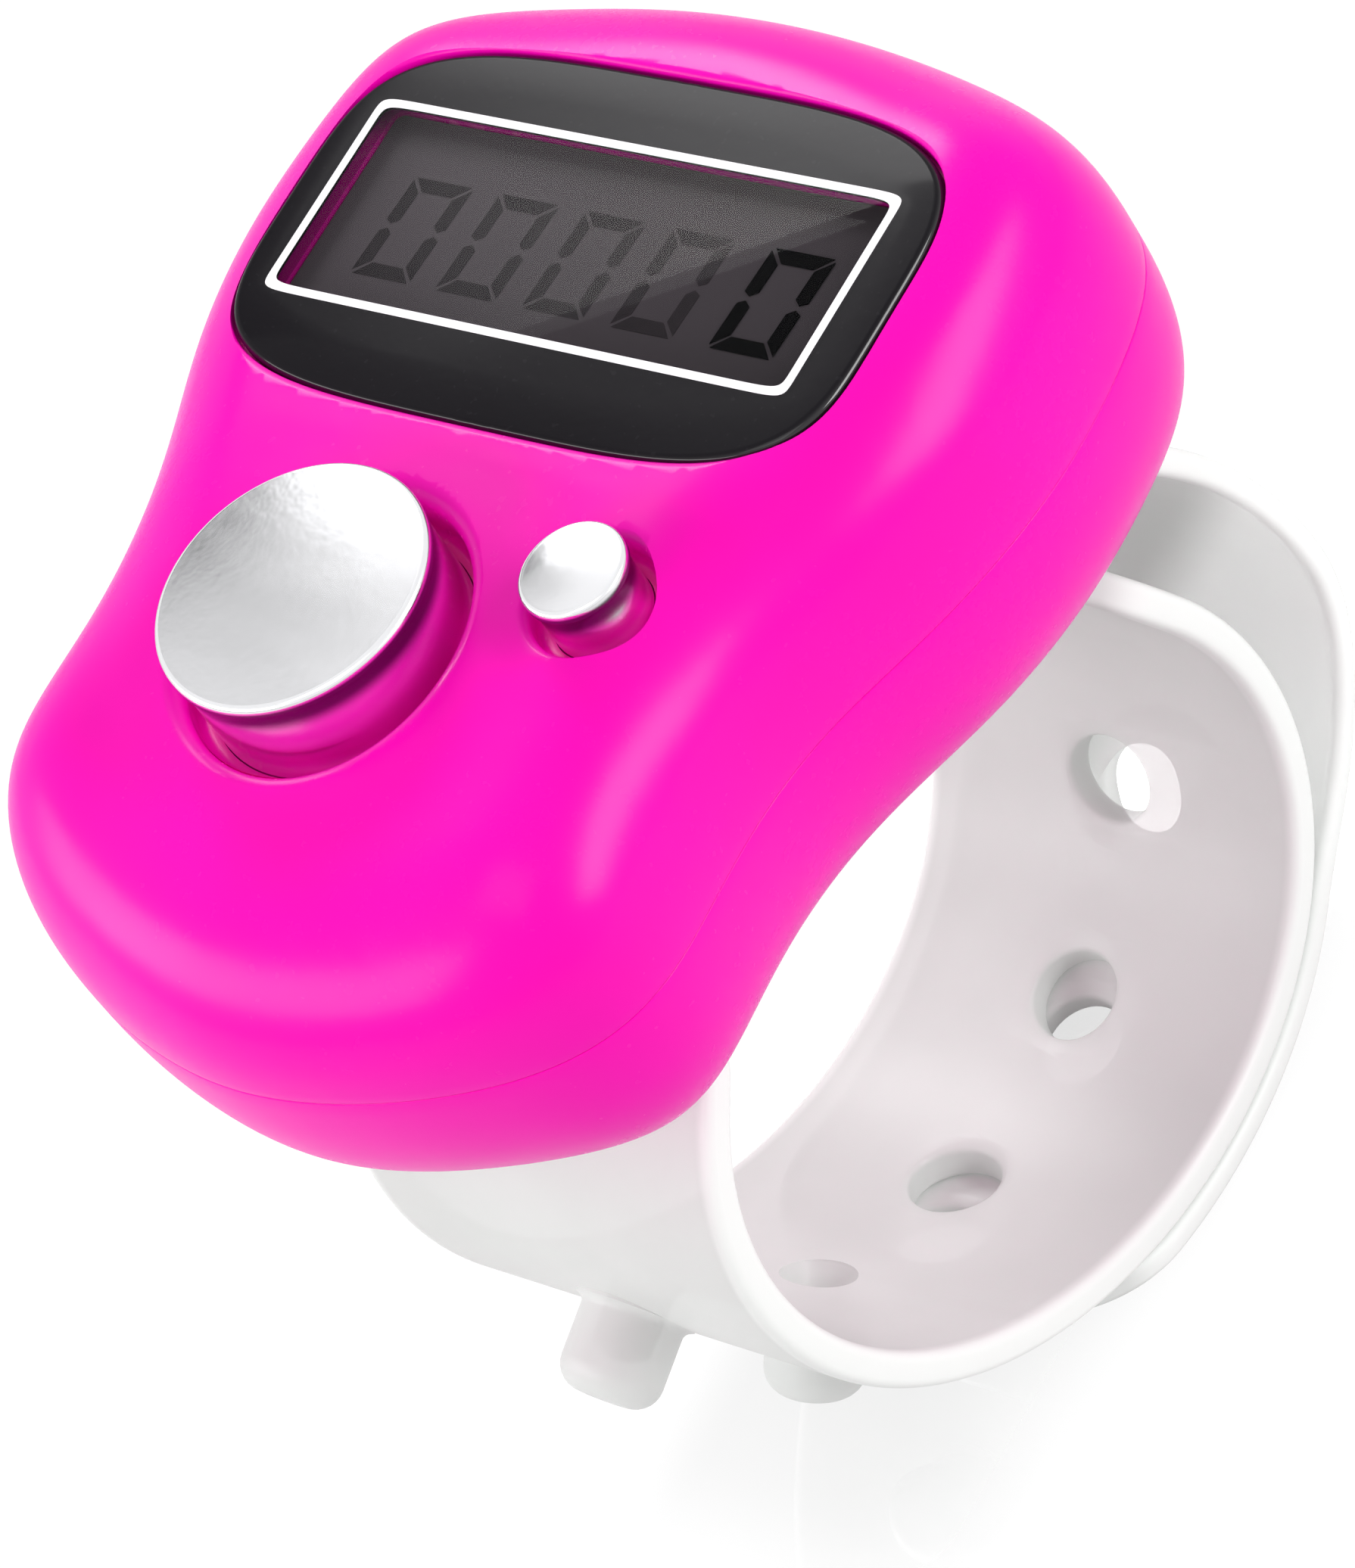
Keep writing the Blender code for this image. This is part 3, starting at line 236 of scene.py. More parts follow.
# Metres along the bright card's edge, from its middle, between which it brightens
CARD_FADE = (-0.034, 0.012)
GREY_CARD_PLACE = (-184, 88, 232)
GREY_CARD_SIZE = 84
GREY_CARD_SHADE = 0.55
FLOOR_SIZE = 600.0
FLOOR_GAP = 0.02
FLOOR_GLOW = 1.06
FLOOR_SHARE = 0.93
# Where the floor mirrors, in metres: from its left, to its right and from its front
MIRROR_LEFT = (-0.0075, -0.0045)
MIRROR_RIGHT = (0.0, 0.008, 0.3, 0.0)
MIRROR_FRONT = (-0.0155, -0.010)
WORLD_LIGHT = 0.38
WHITE = (1, 1, 1, 1)

# Inner parts, in metres
CAPACITOR_X = 0.006812
TIN_START = 0.00048


# Shader nodes

class Wire:
    """One output socket of a material, on which arithmetic adds Math nodes."""

    def __init__(self, tree, socket):
        self.tree = tree
        self.socket = socket

    def math(self, operation, other=0.0):
        return add_node(self.tree, "ShaderNodeMath", {"operation": operation}, {0: self, 1: other})

    def __add__(self, other):
        return self.math("ADD", other)

    def __sub__(self, other):
        return self.math("SUBTRACT", other)

    def __rsub__(self, other):
        return add_node(self.tree, "ShaderNodeMath", {"operation": "SUBTRACT"}, {0: other, 1: self})

    def __mul__(self, other):
        return self.math("MULTIPLY", other)

    def __truediv__(self, other):
        return self.math("DIVIDE", other)

    def __abs__(self):
        return self.math("ABSOLUTE")

    __radd__ = __add__
    __rmul__ = __mul__

    def above(self, limit):
        return self.math("GREATER_THAN", limit)

    def rise(self, start, end, low=0.0, high=1.0):
        """Smooth step from low to high between start and end."""
        return add_node(self.tree, "ShaderNodeMapRange", {"interpolation_type": "SMOOTHSTEP"},
                        {0: self, 1: start, 2: end, 3: low, 4: high})


def add_node(tree, kind, settings=None, inputs=None, output=0):
    """Adds a node with its settings first and then its sockets' values or links, and returns one output."""
    node = tree.nodes.new(kind)
    for key, value in (settings or {}).items():
        setattr(node, key, value)
    for key, value in (inputs or {}).items():
        if isinstance(value, Wire):
            tree.links.new(value.socket, node.inputs[key])
        else:
            node.inputs[key].default_value = value
    return Wire(tree, node.outputs[output])


def shade(colour, share):
    """A colour made deeper or paler."""
    return tuple(c * share for c in colour)


class Look:
    """A material with one Principled shader, and the patterns that feed it."""

    def __init__(self, name, colour, roughness, metallic=0.0, **constants):
        self.material = bpy.data.materials.new(name)
        self.material.use_nodes = True
        self.tree = self.material.node_tree
        self.shader = self.tree.nodes["Principled BSDF"]
        self.shader.inputs["Base Color"].default_value = (*colour, 1.0)
        self.shader.inputs["Roughness"].default_value = roughness
        self.shader.inputs["Metallic"].default_value = metallic
        for key, value in constants.items():
            self.shader.inputs[key.replace("_", " ")].default_value = value

    def place(self):
        """Object coordinates."""
        return add_node(self.tree, "ShaderNodeTexCoord", output="Object")

    def axis(self, index):
        """One Object coordinate, in metres."""
        return add_node(self.tree, "ShaderNodeSeparateXYZ", inputs={0: self.place()}, output=index)

    def noise(self, scale, detail=2.0, stretch=(1.0, 1.0, 1.0)):
        """Noise with so many cells to the metre, stretched along the axes."""
        spot = add_node(self.tree, "ShaderNodeMapping", inputs={"Vector": self.place(), "Scale": stretch})
        return add_node(self.tree, "ShaderNodeTexNoise",
                        inputs={"Vector": spot, "Scale": scale, "Detail": detail})

    def bands(self, direction, **inputs):
        """Wave texture in bands, as a value."""
        settings = {"wave_type": "BANDS", "bands_direction": direction}
        return abs(add_node(self.tree, "ShaderNodeTexWave", settings, {"Vector": self.place(), **inputs}, 1))

    def blend(self, share, first, second):
        """Mix of two colours or colour wires."""
        first, second = (c if isinstance(c, Wire) else (*c, 1.0) for c in (first, second))
        inputs = {0: share, 6: first, 7: second}
        return add_node(self.tree, "ShaderNodeMix", {"data_type": "RGBA"}, inputs, 2)

    def feed(self, socket, wire):
        self.tree.links.new(wire.socket, self.shader.inputs[socket])

    def finish(self, base, roughness, height=None, depth=0.0):
        """Feeds the colour, the roughness and, given a height pattern, a bump so many metres deep."""
        self.feed("Base Color", base)
        self.feed("Roughness", roughness)
        if height is not None:
            inputs = {"Height": height, "Distance": depth}
            self.feed("Normal", add_node(self.tree, "ShaderNodeBump", inputs=inputs))
        return self

    def mirror(self, roughness):
        """White mirror shader."""
        inputs = {"Color": WHITE, "Roughness": roughness}
        return add_node(self.tree, "ShaderNodeBsdfAnisotropic", inputs=inputs)

    def mix(self, share, first, second):
        """Mix of two shaders."""
        return add_node(self.tree, "ShaderNodeMixShader", inputs={0: share, 1: first, 2: second})

    def show(self, wire):
        """Makes a shader other than the Principled one the surface."""
        self.tree.links.new(wire.socket, self.tree.nodes["Material Output"].inputs["Surface"])


def srgb(red, green, blue):
    """Linear colour from screen values of 0 to 255."""
    values = np.array([red, green, blue]) / 255.0
    linear = np.where(values <= 0.04045, values / 12.92, ((values + 0.055) / 1.055) ** 2.4)
    return tuple(float(v) for v in linear)


# Meshes

def grid_quads(rows, columns, close_rows=False):
    """Quads between neighbouring points of a grid whose columns always close and whose rows may."""
    row = np.arange(rows if close_rows else rows - 1)
    column = np.arange(columns)
    row, column = np.meshgrid(row, column, indexing="ij")
    after = (row + 1) % rows
    beside = (column + 1) % columns
    corners = (row * columns + column, row * columns + beside, after * columns + beside,
               after * columns + column)
    return np.stack(corners, axis=-1).reshape(-1, 4)


def mesh_object(name, points, groups, keep=True, sharp=SHARP):
    """Object from millimetre points counted from the face and groups of faces, with normals turned outwards.

    Unless sharp is None, doubles are merged and the faces shaded smooth up to that angle.
    """
    placed = (points.reshape(-1, 3) + (0.0, SHIFT_Y, FACE_LEVEL)) * MM
    mesh = bpy.data.meshes.new(name)
    mesh.from_pydata(placed.tolist(), [], [face for group in groups for face in group.tolist()])
    work = bmesh.new()
    work.from_mesh(mesh)
    if sharp is not None:
        bmesh.ops.remove_doubles(work, verts=work.verts, dist=1e-7)
    bmesh.ops.recalc_face_normals(work, faces=work.faces)
    work.to_mesh(mesh)
    work.free()
    if sharp is not None:
        finish_mesh(mesh, sharp)
    made = bpy.data.objects.new(name, mesh)
    bpy.context.scene.collection.objects.link(made)
    made.hide_render = not keep
    return made


def surface(name, points, keep=True, sharp=SHARP, close_rows=False):
    """Object from a grid of points, joined by quads."""
    return mesh_object(name, points, [grid_quads(*points.shape[:2], close_rows)], keep, sharp)


def square(name, corners):
    """One square face through four corners."""
    return mesh_object(name, corners, [np.array([[0, 1, 2, 3]])])


def finish_mesh(mesh, sharp):
    mesh.shade_smooth()
    mesh.set_sharp_from_angle(angle=np.radians(sharp))


def combine(target, tools, operation="DIFFERENCE", sharp=SHARP):
    """Cuts the tools from the target, or joins them to it, and keeps only the result."""
    for tool in tools:
        step = target.modifiers.new(tool.name, "BOOLEAN")
        step.operation = operation
        step.object = tool
        step.solver = "EXACT"
    shown = target.evaluated_get(bpy.context.evaluated_depsgraph_get())
    mesh = bpy.data.meshes.new_from_object(shown)
    target.modifiers.clear()
    target.data = mesh
    finish_mesh(mesh, sharp)
    for tool in tools:
        bpy.data.objects.remove(tool)
    if len(mesh.polygons) == 0:
        raise RuntimeError("the cut left nothing of " + target.name)


def dress(made, look, body, slot, *nodes):
    """Gives a piece its material and body and hides the CAD nodes that it stands for; the slot is not used.
    """
    made.data.materials.clear()
    made.data.materials.append(look.material)
    made.hide_render = False
    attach(made, body)
    if nodes:
        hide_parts(*nodes)


# Curves

def outline_points(count):
    """The body's outline.

    A Catmull-Rom cubic runs through the outline shares, is sampled at even
    lengths, and keeps only its first Fourier waves so that it is smooth.
    """
    low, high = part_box("top_shell")
    half = np.array([(high.x - low.x) / 2, (high.y - low.y) / 2]) / MM
    right = np.array(OUTLINE) * half + (0, (high.y + low.y) / 2 / MM - SHIFT_Y)
    knots = np.concatenate([right, right[-2:0:-1] * (-1, 1)])
    steps = np.linspace(0, 1, 40, endpoint=False)[:, None, None]
    before, here, after, beyond = (np.roll(knots, shift, axis=0)[None] for shift in (1, 0, -1, -2))
    square_part = 2 * before - 5 * here + 4 * after - beyond
    cubic = 0.5 * (2 * here + (after - before) * steps + square_part * steps ** 2
                   + (3 * here - before - 3 * after + beyond) * steps ** 3)
    dense = np.swapaxes(cubic, 0, 1).reshape(-1, 2)
    closed = np.concatenate([dense, dense[:1]])
    along = np.concatenate([[0], np.cumsum(np.hypot(*np.diff(closed, axis=0).T))])
    even = np.linspace(0, along[-1], count, endpoint=False)
    ring = np.interp(even, along, closed[:, 0]) + 1j * np.interp(even, along, closed[:, 1])
    waves = np.fft.fft(ring)
    order = np.abs(np.fft.fftfreq(count, 1 / count))
    waves[order > OUTLINE_WAVES] = 0
    smooth = np.fft.ifft(waves)
    return np.stack([smooth.real, smooth.imag], axis=-1)


def inset_rings(ring, insets):
    """Copies of a closed clockwise curve, each moved in along its normals.

    The normals keep only their first waves, so that they don't cross where the curve turns quickly.
    """
    along = np.roll(ring, -1, axis=0) - np.roll(ring, 1, axis=0)
    along /= np.hypot(along[:, 0], along[:, 1])[:, None]
    waves = np.fft.fft(along[:, 1] - 1j * along[:, 0])
    waves[np.abs(np.fft.fftfreq(len(ring), 1 / len(ring))) > NORMAL_WAVES] = 0
    smooth = np.fft.ifft(waves)
    inward = np.stack([smooth.real, smooth.imag], axis=-1)
    return ring[None] + inward[None] * np.asarray(insets)[:, None, None]


def face_height(x, y):
    """Height of the face.

    It falls by a square law at its lower end, and has a shallow ring round the count well.
    """
    reach = DROP_START - (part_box("top_shell")[0].y / MM - SHIFT_Y)
    share = np.clip((DROP_START - y) / reach, 0, None)
    middle = button_centre("count_button")
    away = np.hypot(x - middle[0], y - middle[1])
    fade = np.clip((DISH_FADE[0] - y) / DISH_FADE[1], 0, 1)
    ring = np.exp(-((away - DISH_RADIUS) / DISH_WIDTH) ** 2)
    return -FACE_DROP * share ** 2 - DISH_DEPTH * ring * fade


def button_centre(node):
    """Centre of a button's box, in millimetres."""
    low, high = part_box(node)
    return (low.x + high.x) / 2 / MM, (low.y + high.y) / 2 / MM - SHIFT_Y


def quarter(count, power):
    """Points of a superellipse's quarter: (how far in, how far up), both from nought to one."""
    turn = np.linspace(0, np.pi / 2, count)
    return 1 - np.cos(turn) ** (2 / power), np.sin(turn) ** (2 / power)


def superellipse(half, power, count):
    """Closed curve where the powers of x and y, each over its half size, add up to one."""
    turn = -np.linspace(0, 2 * np.pi, count, endpoint=False)
    wave = np.stack([np.cos(turn), np.sin(turn)], axis=-1)
    return np.sign(wave) * np.abs(wave) ** (2 / power) * np.array(half)


def with_height(rings, heights):
    """Joins rings of x and y with a height for each ring or each point."""
    rings = np.asarray(rings)
    heights = np.asarray(heights)
    if heights.ndim == 1:
        heights = heights[:, None]
    return np.concatenate([rings, np.broadcast_to(heights, rings.shape[:2])[..., None]], axis=-1)


def on_face(rings, lift=0.0):
    """Rings of x and y laid on the face, or at a distance from it."""
    return with_height(rings, lift + face_height(rings[..., 0], rings[..., 1]))


def shrunk(ring, shares):
    """Copies of a ring drawn in towards the origin, to shares of its size."""
    return ring[None] * np.asarray(shares)[:, None, None]


def turned_points(profile, centre, count):
    """A profile of (radius, height) carried round an upright axis."""
    turn = np.linspace(0, 2 * np.pi, count, endpoint=False)
    profile = np.asarray(profile, float)
    x = centre[0] + profile[:, :1] * np.cos(turn)
    y = centre[1] + profile[:, :1] * np.sin(turn)
    return np.stack([x, y, np.broadcast_to(profile[:, 1:2], x.shape)], axis=-1)


def turned(name, profile, centre, count, keep=True, sharp=SHARP):
    """Closed solid of revolution whose profile starts and ends on the axis."""
    return surface(name, turned_points(profile, centre, count), keep, sharp)


def arc(centre, radius, start, end, steps):
    """Points of an arc in the profile plane, by angles in degrees."""
    turn = np.radians(np.linspace(start, end, steps))
    return [(centre[0] + radius * np.cos(a), centre[1] + radius * np.sin(a)) for a in turn]


def loft(name, rings, heights=None, keep=True, sharp=SHARP):
    """Closed solid through a stack of rings, with a point at the middle of each end."""
    rings = np.asarray(rings) if heights is None else with_height(rings, heights)
    ends = [np.broadcast_to(ring.mean(axis=0), ring.shape)[None] for ring in (rings[0], rings[-1])]
    return surface(name, np.concatenate([ends[0], rings, ends[1]]), keep, sharp)


def collar(name, loops, heights):
    """Ring-shaped solid through loops that come back to the first one."""
    return surface(name, with_height(loops, heights), sharp=WINDOW_SHARP, close_rows=True)


# Shells

def top_shell_points():
    """Rings of the upper moulding, from the face's middle out, down the side, and back under the ceiling."""
    ring = outline_points(AROUND)
    inward, upward = quarter(48, SHOULDER_POWER)
    side = inset_rings(ring, SHOULDER * inward)
    seam = -TOP_DEPTH + SEAM / 2
    lowest = seam + SEAM_ROUND
    height = lowest * (1 - upward)[:, None] + face_height(side[..., 0], side[..., 1]) * upward[:, None]
    outer = with_height(side, height)[::-1]
    face = on_face(shrunk(side[-1], np.linspace(0, 1, 64)[:-1]))
    rim_insets = [SEAM_ROUND * a for a, b in SEAM_STEPS] + [LAP_INSET, LAP_INSET, WALL, WALL]
    rim_levels = [seam + SEAM_ROUND * b for a, b in SEAM_STEPS]
    rim_levels += [seam, seam + LAP_HEIGHT, seam + LAP_HEIGHT, -CEILING - CEILING_STEP]
    rim = with_height(inset_rings(ring, rim_insets), rim_levels)
    roof = inset_rings(ring, [CEILING_INSET])
    ceiling = on_face(np.concatenate([roof, shrunk(roof[0], np.linspace(1, 0, 8)[1:])]), -CEILING)
    return np.concatenate([face, outer, rim, ceiling])


def bottom_shell_points():
    """Rings of the lower moulding, from the underside's middle out, up the side, and inside to the floor."""
    ring = outline_points(AROUND)
    inward, upward = quarter(40, BASE_POWER)
    seam = -TOP_DEPTH - SEAM / 2
    highest = seam - SEAM_ROUND
    side = inset_rings(ring, BASE_SHOULDER * inward)
    outer = with_height(side, highest - (BODY_DEPTH + highest) * upward)[::-1]
    under = with_height(shrunk(side[-1], np.linspace(0, 1, 12)[:-1]), np.full(11, -BODY_DEPTH))
    lap = LAP_INSET + LAP_GAP
    insets = [SEAM_ROUND * a for a, b in SEAM_STEPS] + [lap, lap, WALL, WALL, FLOOR_INSET]
    lap_level = seam + LAP_HEIGHT - LAP_GAP
    floor_level = -BODY_DEPTH + FLOOR
    levels = [seam - SEAM_ROUND * b for a, b in SEAM_STEPS]
    levels += [seam, lap_level, lap_level, floor_level + FLOOR_STEP, floor_level]
    inside = inset_rings(ring, insets)
    floor = with_height(shrunk(inside[-1], np.linspace(1, 0, 5)[1:]), np.full(4, floor_level))
    return np.concatenate([under, outer, with_height(inside, levels), floor])


def well_cutter(node, radius, depth, lip):
    """Turned cutter that flares at the lip, where it follows the face, and narrows to the bore below."""
    start = np.radians(FLARE_START)
    turn = np.linspace(start, np.pi / 2, 8)
    flare = [(radius + lip - lip * np.sin(a), lip * np.cos(a) - lip) for a in turn]
    reach = 0.5
    first = (flare[0][0] + reach * np.cos(start), flare[0][1] + reach * np.sin(start))
    straight = depth * WELL_STRAIGHT
    profile = [(0, first[1] + 1), (first[0], first[1] + 1), first, *flare, (radius, -straight)]
    profile += arc((radius - WELL_CORNER, -depth + WELL_CORNER), WELL_CORNER, 0, -90, 5)
    bore = radius_of(node) - CAP_STEP + BORE_GAP
    profile += [(bore, -depth), (bore, CUT_LEVEL), (0, CUT_LEVEL)]
    points = turned_points(profile, button_centre(node), 96)
    follow = np.clip((points[..., 2] + straight) / (straight - lip), 0, 1)
    points[..., 2] += face_height(points[..., 0], points[..., 1]) * follow
    return surface(node + "_well", points, keep=False)


def window_ring(grow, count=160):
    """The window's outline, a superellipse, grown by a distance."""
    half = (WINDOW_HALF[0] + grow, WINDOW_HALF[1] + grow)
    return superellipse(half, WINDOW_POWER, count) + (0, WINDOW_Y)


def rounded_box(half_x, half_y, radius):
    """Closed clockwise rectangle with round corners, round the display's centre."""
    turn = np.radians(np.linspace(0, 90, 10))
    corner = np.stack([np.cos(turn), np.sin(turn)], axis=-1) * radius
    one = corner + (half_x - radius, half_y - radius)
    loop = np.concatenate([one, one[::-1] * (-1, 1), one * (-1, -1), one[::-1] * (1, -1)])
    return loop[::-1] + (0, DISPLAY_Y)


def view_box(inset, radius):
    """Outline of the opening over the display, drawn in by a distance."""
    return rounded_box(*(np.array(FRAME_HALF) - FRAME_LINE + OPENING_GROW - inset), radius)


class COUNTER_OT_shells(bpy.types.Operator):
    """Make the two magenta mouldings with their wells, window seat, slots and screw bores."""

    bl_idname = "counter.shells"
    bl_label = "Shells"

    def execute(self, context):
        look = magenta_look(context.scene.counter_colours.body)
        top = surface("top_moulding", top_shell_points())
        pocket = [window_ring(grow) for grow, height in POCKET]
        tools = [well_cutter(node, radius, depth, lip) for node, name, radius, depth, lip, rim in BUTTONS]
        tools += [loft("window_pocket", pocket, [height for grow, height in POCKET], keep=False),
                  loft("opening", [view_box(0, 0.3)] * 2, [0.5, CUT_LEVEL], keep=False)]
        combine(top, tools)
        dress(top, look, CASE, "magenta_plastic", "top_shell")

        bottom = surface("bottom_moulding", bottom_shell_points())
        tools = [turned(name + "_bore", SCREW_BORE, button_centre(name), 40, keep=False)
                 for name in CASE_SCREWS]
        for node, name, y, thick, *rest in STRAPS:
            half = (STRAP_WIDTH / 2 + SLOT_GAP, thick / 2 + SLOT_GAP)
            slot = superellipse(half, 12, 96) + (0, y)
            tools.append(loft(name + "_slot", [slot, slot], [-BODY_DEPTH - 1, SLOT_TOP], keep=False))
        combine(bottom, tools)
        dress(bottom, look, CASE, "magenta_plastic", "bottom_shell")
        return {"FINISHED"}


def radius_of(node):
    """Stem radius of a button, from its box less the flange's step."""
    low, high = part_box(node)
    return (high.x - low.x) / 2 / MM - CAP_FLANGE


def magenta_look(colour):
    """Glossy moulded plastic with a faint ripple, a little cloudiness and a few finer scuffs."""
    look = Look("moulded magenta", colour, 0.26, IOR=1.24)
    cloud = look.noise(90, 3)
    base = look.blend(cloud.rise(0.35, 0.7), shade(colour, 0.93), colour)
    fine = look.noise(2600, 2)
    return look.finish(base, 0.22 + cloud * 0.05 + fine * 0.04, look.noise(420, 2) + fine * 0.04, 0.00002)


# Window and display

def slab_between(name, outer, low, high, edge):
    """Slab over a closed outline with a rounded upper edge."""
    turn = np.linspace(0, np.pi / 2, 5)
    centre = outer.mean(axis=0)
    size = np.abs(outer - centre).max(axis=0)
    rings = [outer] + [centre + (outer - centre) * (1 - edge * (1 - np.cos(a)) / size) for a in turn]
    heights = [low] + [high - edge + edge * np.sin(a) for a in turn]
    inner = [centre + (rings[-1] - centre) * s for s in (0.75, 0.5, 0.25)]
    return loft(name, rings + inner, heights + [high] * 3)


class COUNTER_OT_window(bpy.types.Operator):
    """Make the dark glossy bezel, the clear pane inside it and the white frame line."""

    bl_idname = "counter.window"
    bl_label = "Window"

    def execute(self, context):
        colours = context.scene.counter_colours
        top = WINDOW_TOP
        step = top - PRINT_THICK
        hole = frame_loop(-FRAME_LINE)
        foot = window_loop(PRINT_EDGE)
        turn = np.linspace(0, np.pi / 2, 7)
        rounded = [window_loop(EDGE_ROUND * (1 - np.sin(a))) for a in turn]
        loops = [hole, (hole + foot) / 2, *rounded, window_loop(0), foot, foot, hole]
        heights = [top, top, *(top - EDGE_ROUND * (1 - np.cos(a)) for a in turn)]
        bezel = collar("window_print", loops, heights + [WINDOW_UNDER, WINDOW_UNDER, step, step])
        dress(bezel, print_look(colours.bezel), CASE, "clear_window")

        inside = (hole - FRAME_MIDDLE) * (1 - PANE_GAP / np.array(FRAME_HALF)) + FRAME_MIDDLE
        under = window_loop(PRINT_EDGE + PANE_EDGE_GAP)
        middle = [FRAME_MIDDLE + (inside - FRAME_MIDDLE) * share for share in (0.6, 0.3)]
        levels = [WINDOW_UNDER, step - PANE_GAP, step - PANE_GAP, top, top, top]
        pane = loft("window_pane", [under, under, inside, inside, *middle], levels, sharp=WINDOW_SHARP)
        dress(pane, pane_look(), CASE, "clear_window", "display_window")

        outside = frame_loop(0)
        line = collar("frame_line", [hole, outside, outside, hole], top + np.array(LINE_LEVELS))
        dress(line, line_look(colours.frame_line), CASE, "clear_window")
        return {"FINISHED"}


def frame_rays():
    """Even angles, with those of the frame's corners among them, and unit rays along them."""
    turn = np.linspace(-np.pi, np.pi, FRAME_COUNT, endpoint=False)
    corner = np.arctan2(FRAME_HALF[1], FRAME_HALF[0])
    wanted = np.array([corner, np.pi - corner, corner - np.pi, -corner])
    turn[np.argmin(np.abs(turn[:, None] - wanted[None]), axis=0)] = wanted
    turn = turn[::-1]
    return turn, np.stack([np.cos(turn), np.sin(turn)], axis=-1)


def frame_loop(grow):
    """The frame's rectangle with small round corners: |x / a| ** p + |y / b| ** p = 1 at each angle."""
    ray = frame_rays()[1]
    share = (np.abs(ray) / (np.array(FRAME_HALF) + grow)) ** FRAME_POWER
    return ray * (share.sum(axis=-1) ** (-1 / FRAME_POWER))[:, None] + FRAME_MIDDLE


def window_loop(inset):
    """The window's outline, drawn in and resampled at the frame's angles."""
    turn, ray = frame_rays()
    away = window_ring(-WINDOW_GAP - inset, WINDOW_COUNT) - FRAME_MIDDLE
    angle = np.arctan2(away[:, 1], away[:, 0])
    order = np.argsort(angle)
    reach = np.interp(turn, angle[order], np.hypot(away[:, 0], away[:, 1])[order], period=2 * np.pi)
    return ray * reach[:, None] + FRAME_MIDDLE


def pane_look():
    """Smoky acrylic: it mirrors more at a slant, from both sides alike, and a slow cloud varies its tint."""
    look = Look("smoky acrylic", (0.9, 0.9, 0.9), 0.03)
    mirror = look.mirror(0.0)
    tint = look.blend(look.noise(120, 2), (PANE_TINT,) * 3, (PANE_TINT * 1.06,) * 3)
    clear = add_node(look.tree, "ShaderNodeBsdfTransparent", inputs={"Color": tint})
    slant = add_node(look.tree, "ShaderNodeLayerWeight", inputs={"Blend": 0.5}, output="Facing")
    mix = look.mix(slant.math("POWER", 5.0) * 0.5 + PANE_MIRROR, clear, mirror)
    look.tree.nodes.remove(look.shader)
    look.show(mix)
    return look


def print_look(colour):
    """Dark glossy bezel with tiny flecks and a slightly worn grain, whose coat is thin on its flat top."""
    look = Look("dark bezel", colour, 0.3, Specular_IOR_Level=0.03, Coat_Weight=0.1, Coat_Roughness=0.06)
    fleck = look.noise(5200, 1).rise(0.68, 0.76)
    cloud = look.noise(160, 3)
    base = look.blend(fleck * 0.4 + cloud * 0.2, colour, tuple(c * 1.6 + 0.006 for c in colour))
    roughness = 0.26 + cloud * 0.1
    top = (FACE_LEVEL + WINDOW_TOP) * MM
    flat = look.axis(2).rise(top - COAT_FADE[0], top - COAT_FADE[1])
    look.feed("Coat Weight", 1.0 - flat * 0.9)
    return look.finish(base, roughness, look.noise(3000, 1), 0.000004)


def line_look(colour):
    """White printing ink, a little uneven."""
    look = Look("white printed line", colour, 0.4)
    grain = look.noise(2400, 2)
    base = look.blend(grain.rise(0.3, 0.7), shade(colour, 0.94), colour)
    return look.finish(base, 0.36 + grain * 0.12, grain, 0.000004)


def display_look(colour):
    """Polariser film over the display: grey, with a slow change of shade and a very fine grain."""
    look = Look("display polariser", colour, 0.4, Specular_IOR_Level=0.02)
    across = look.axis(0).rise(-0.009, 0.009)
    grain = look.noise(5200, 1)
    base = look.blend(across * 0.8 + grain * 0.1, colour, shade(colour, 0.6))
    return look.finish(base, 0.38 + grain * 0.08, grain, 0.000003)


def ink_look(name, colour, roughness):
    """Liquid-crystal segment seen through the glass."""
    look = Look(name, colour, roughness, Specular_IOR_Level=0.0)
    grain = look.noise(4200, 1)
    return look.finish(look.blend(grain, shade(colour, 0.85), shade(colour, 1.1)), roughness + grain * 0.1)


def segment_outlines():
    """Six bars of a nought: the two ends and the four uprights, each a long hexagon with cut ends.

    Returns an array of six outlines of six points, in the digit's own plane.
    """
    width, height = DIGIT_SIZE
    stroke = DIGIT_STROKE
    gap = DIGIT_GAP
    flat = np.array([[gap, 0], [stroke + gap, stroke], [width - stroke - gap, stroke], [width - gap, 0],
                     [width * 0.7, 0], [width * 0.3, 0]])
    half = height / 2
    upright = np.array([[0, gap * 1.3], [stroke, stroke + gap * 0.7], [stroke, half - stroke * 0.55],
                        [stroke * 0.5, half - gap], [0, half - stroke * 0.45], [0, height * 0.2]])
    ends = [flat, flat * (1, -1) + (0, height)]
    sides = [upright * (x, y) + (width * (x < 0), height * (y < 0)) for y in (1, -1) for x in (1, -1)]
    return np.stack(ends + sides)


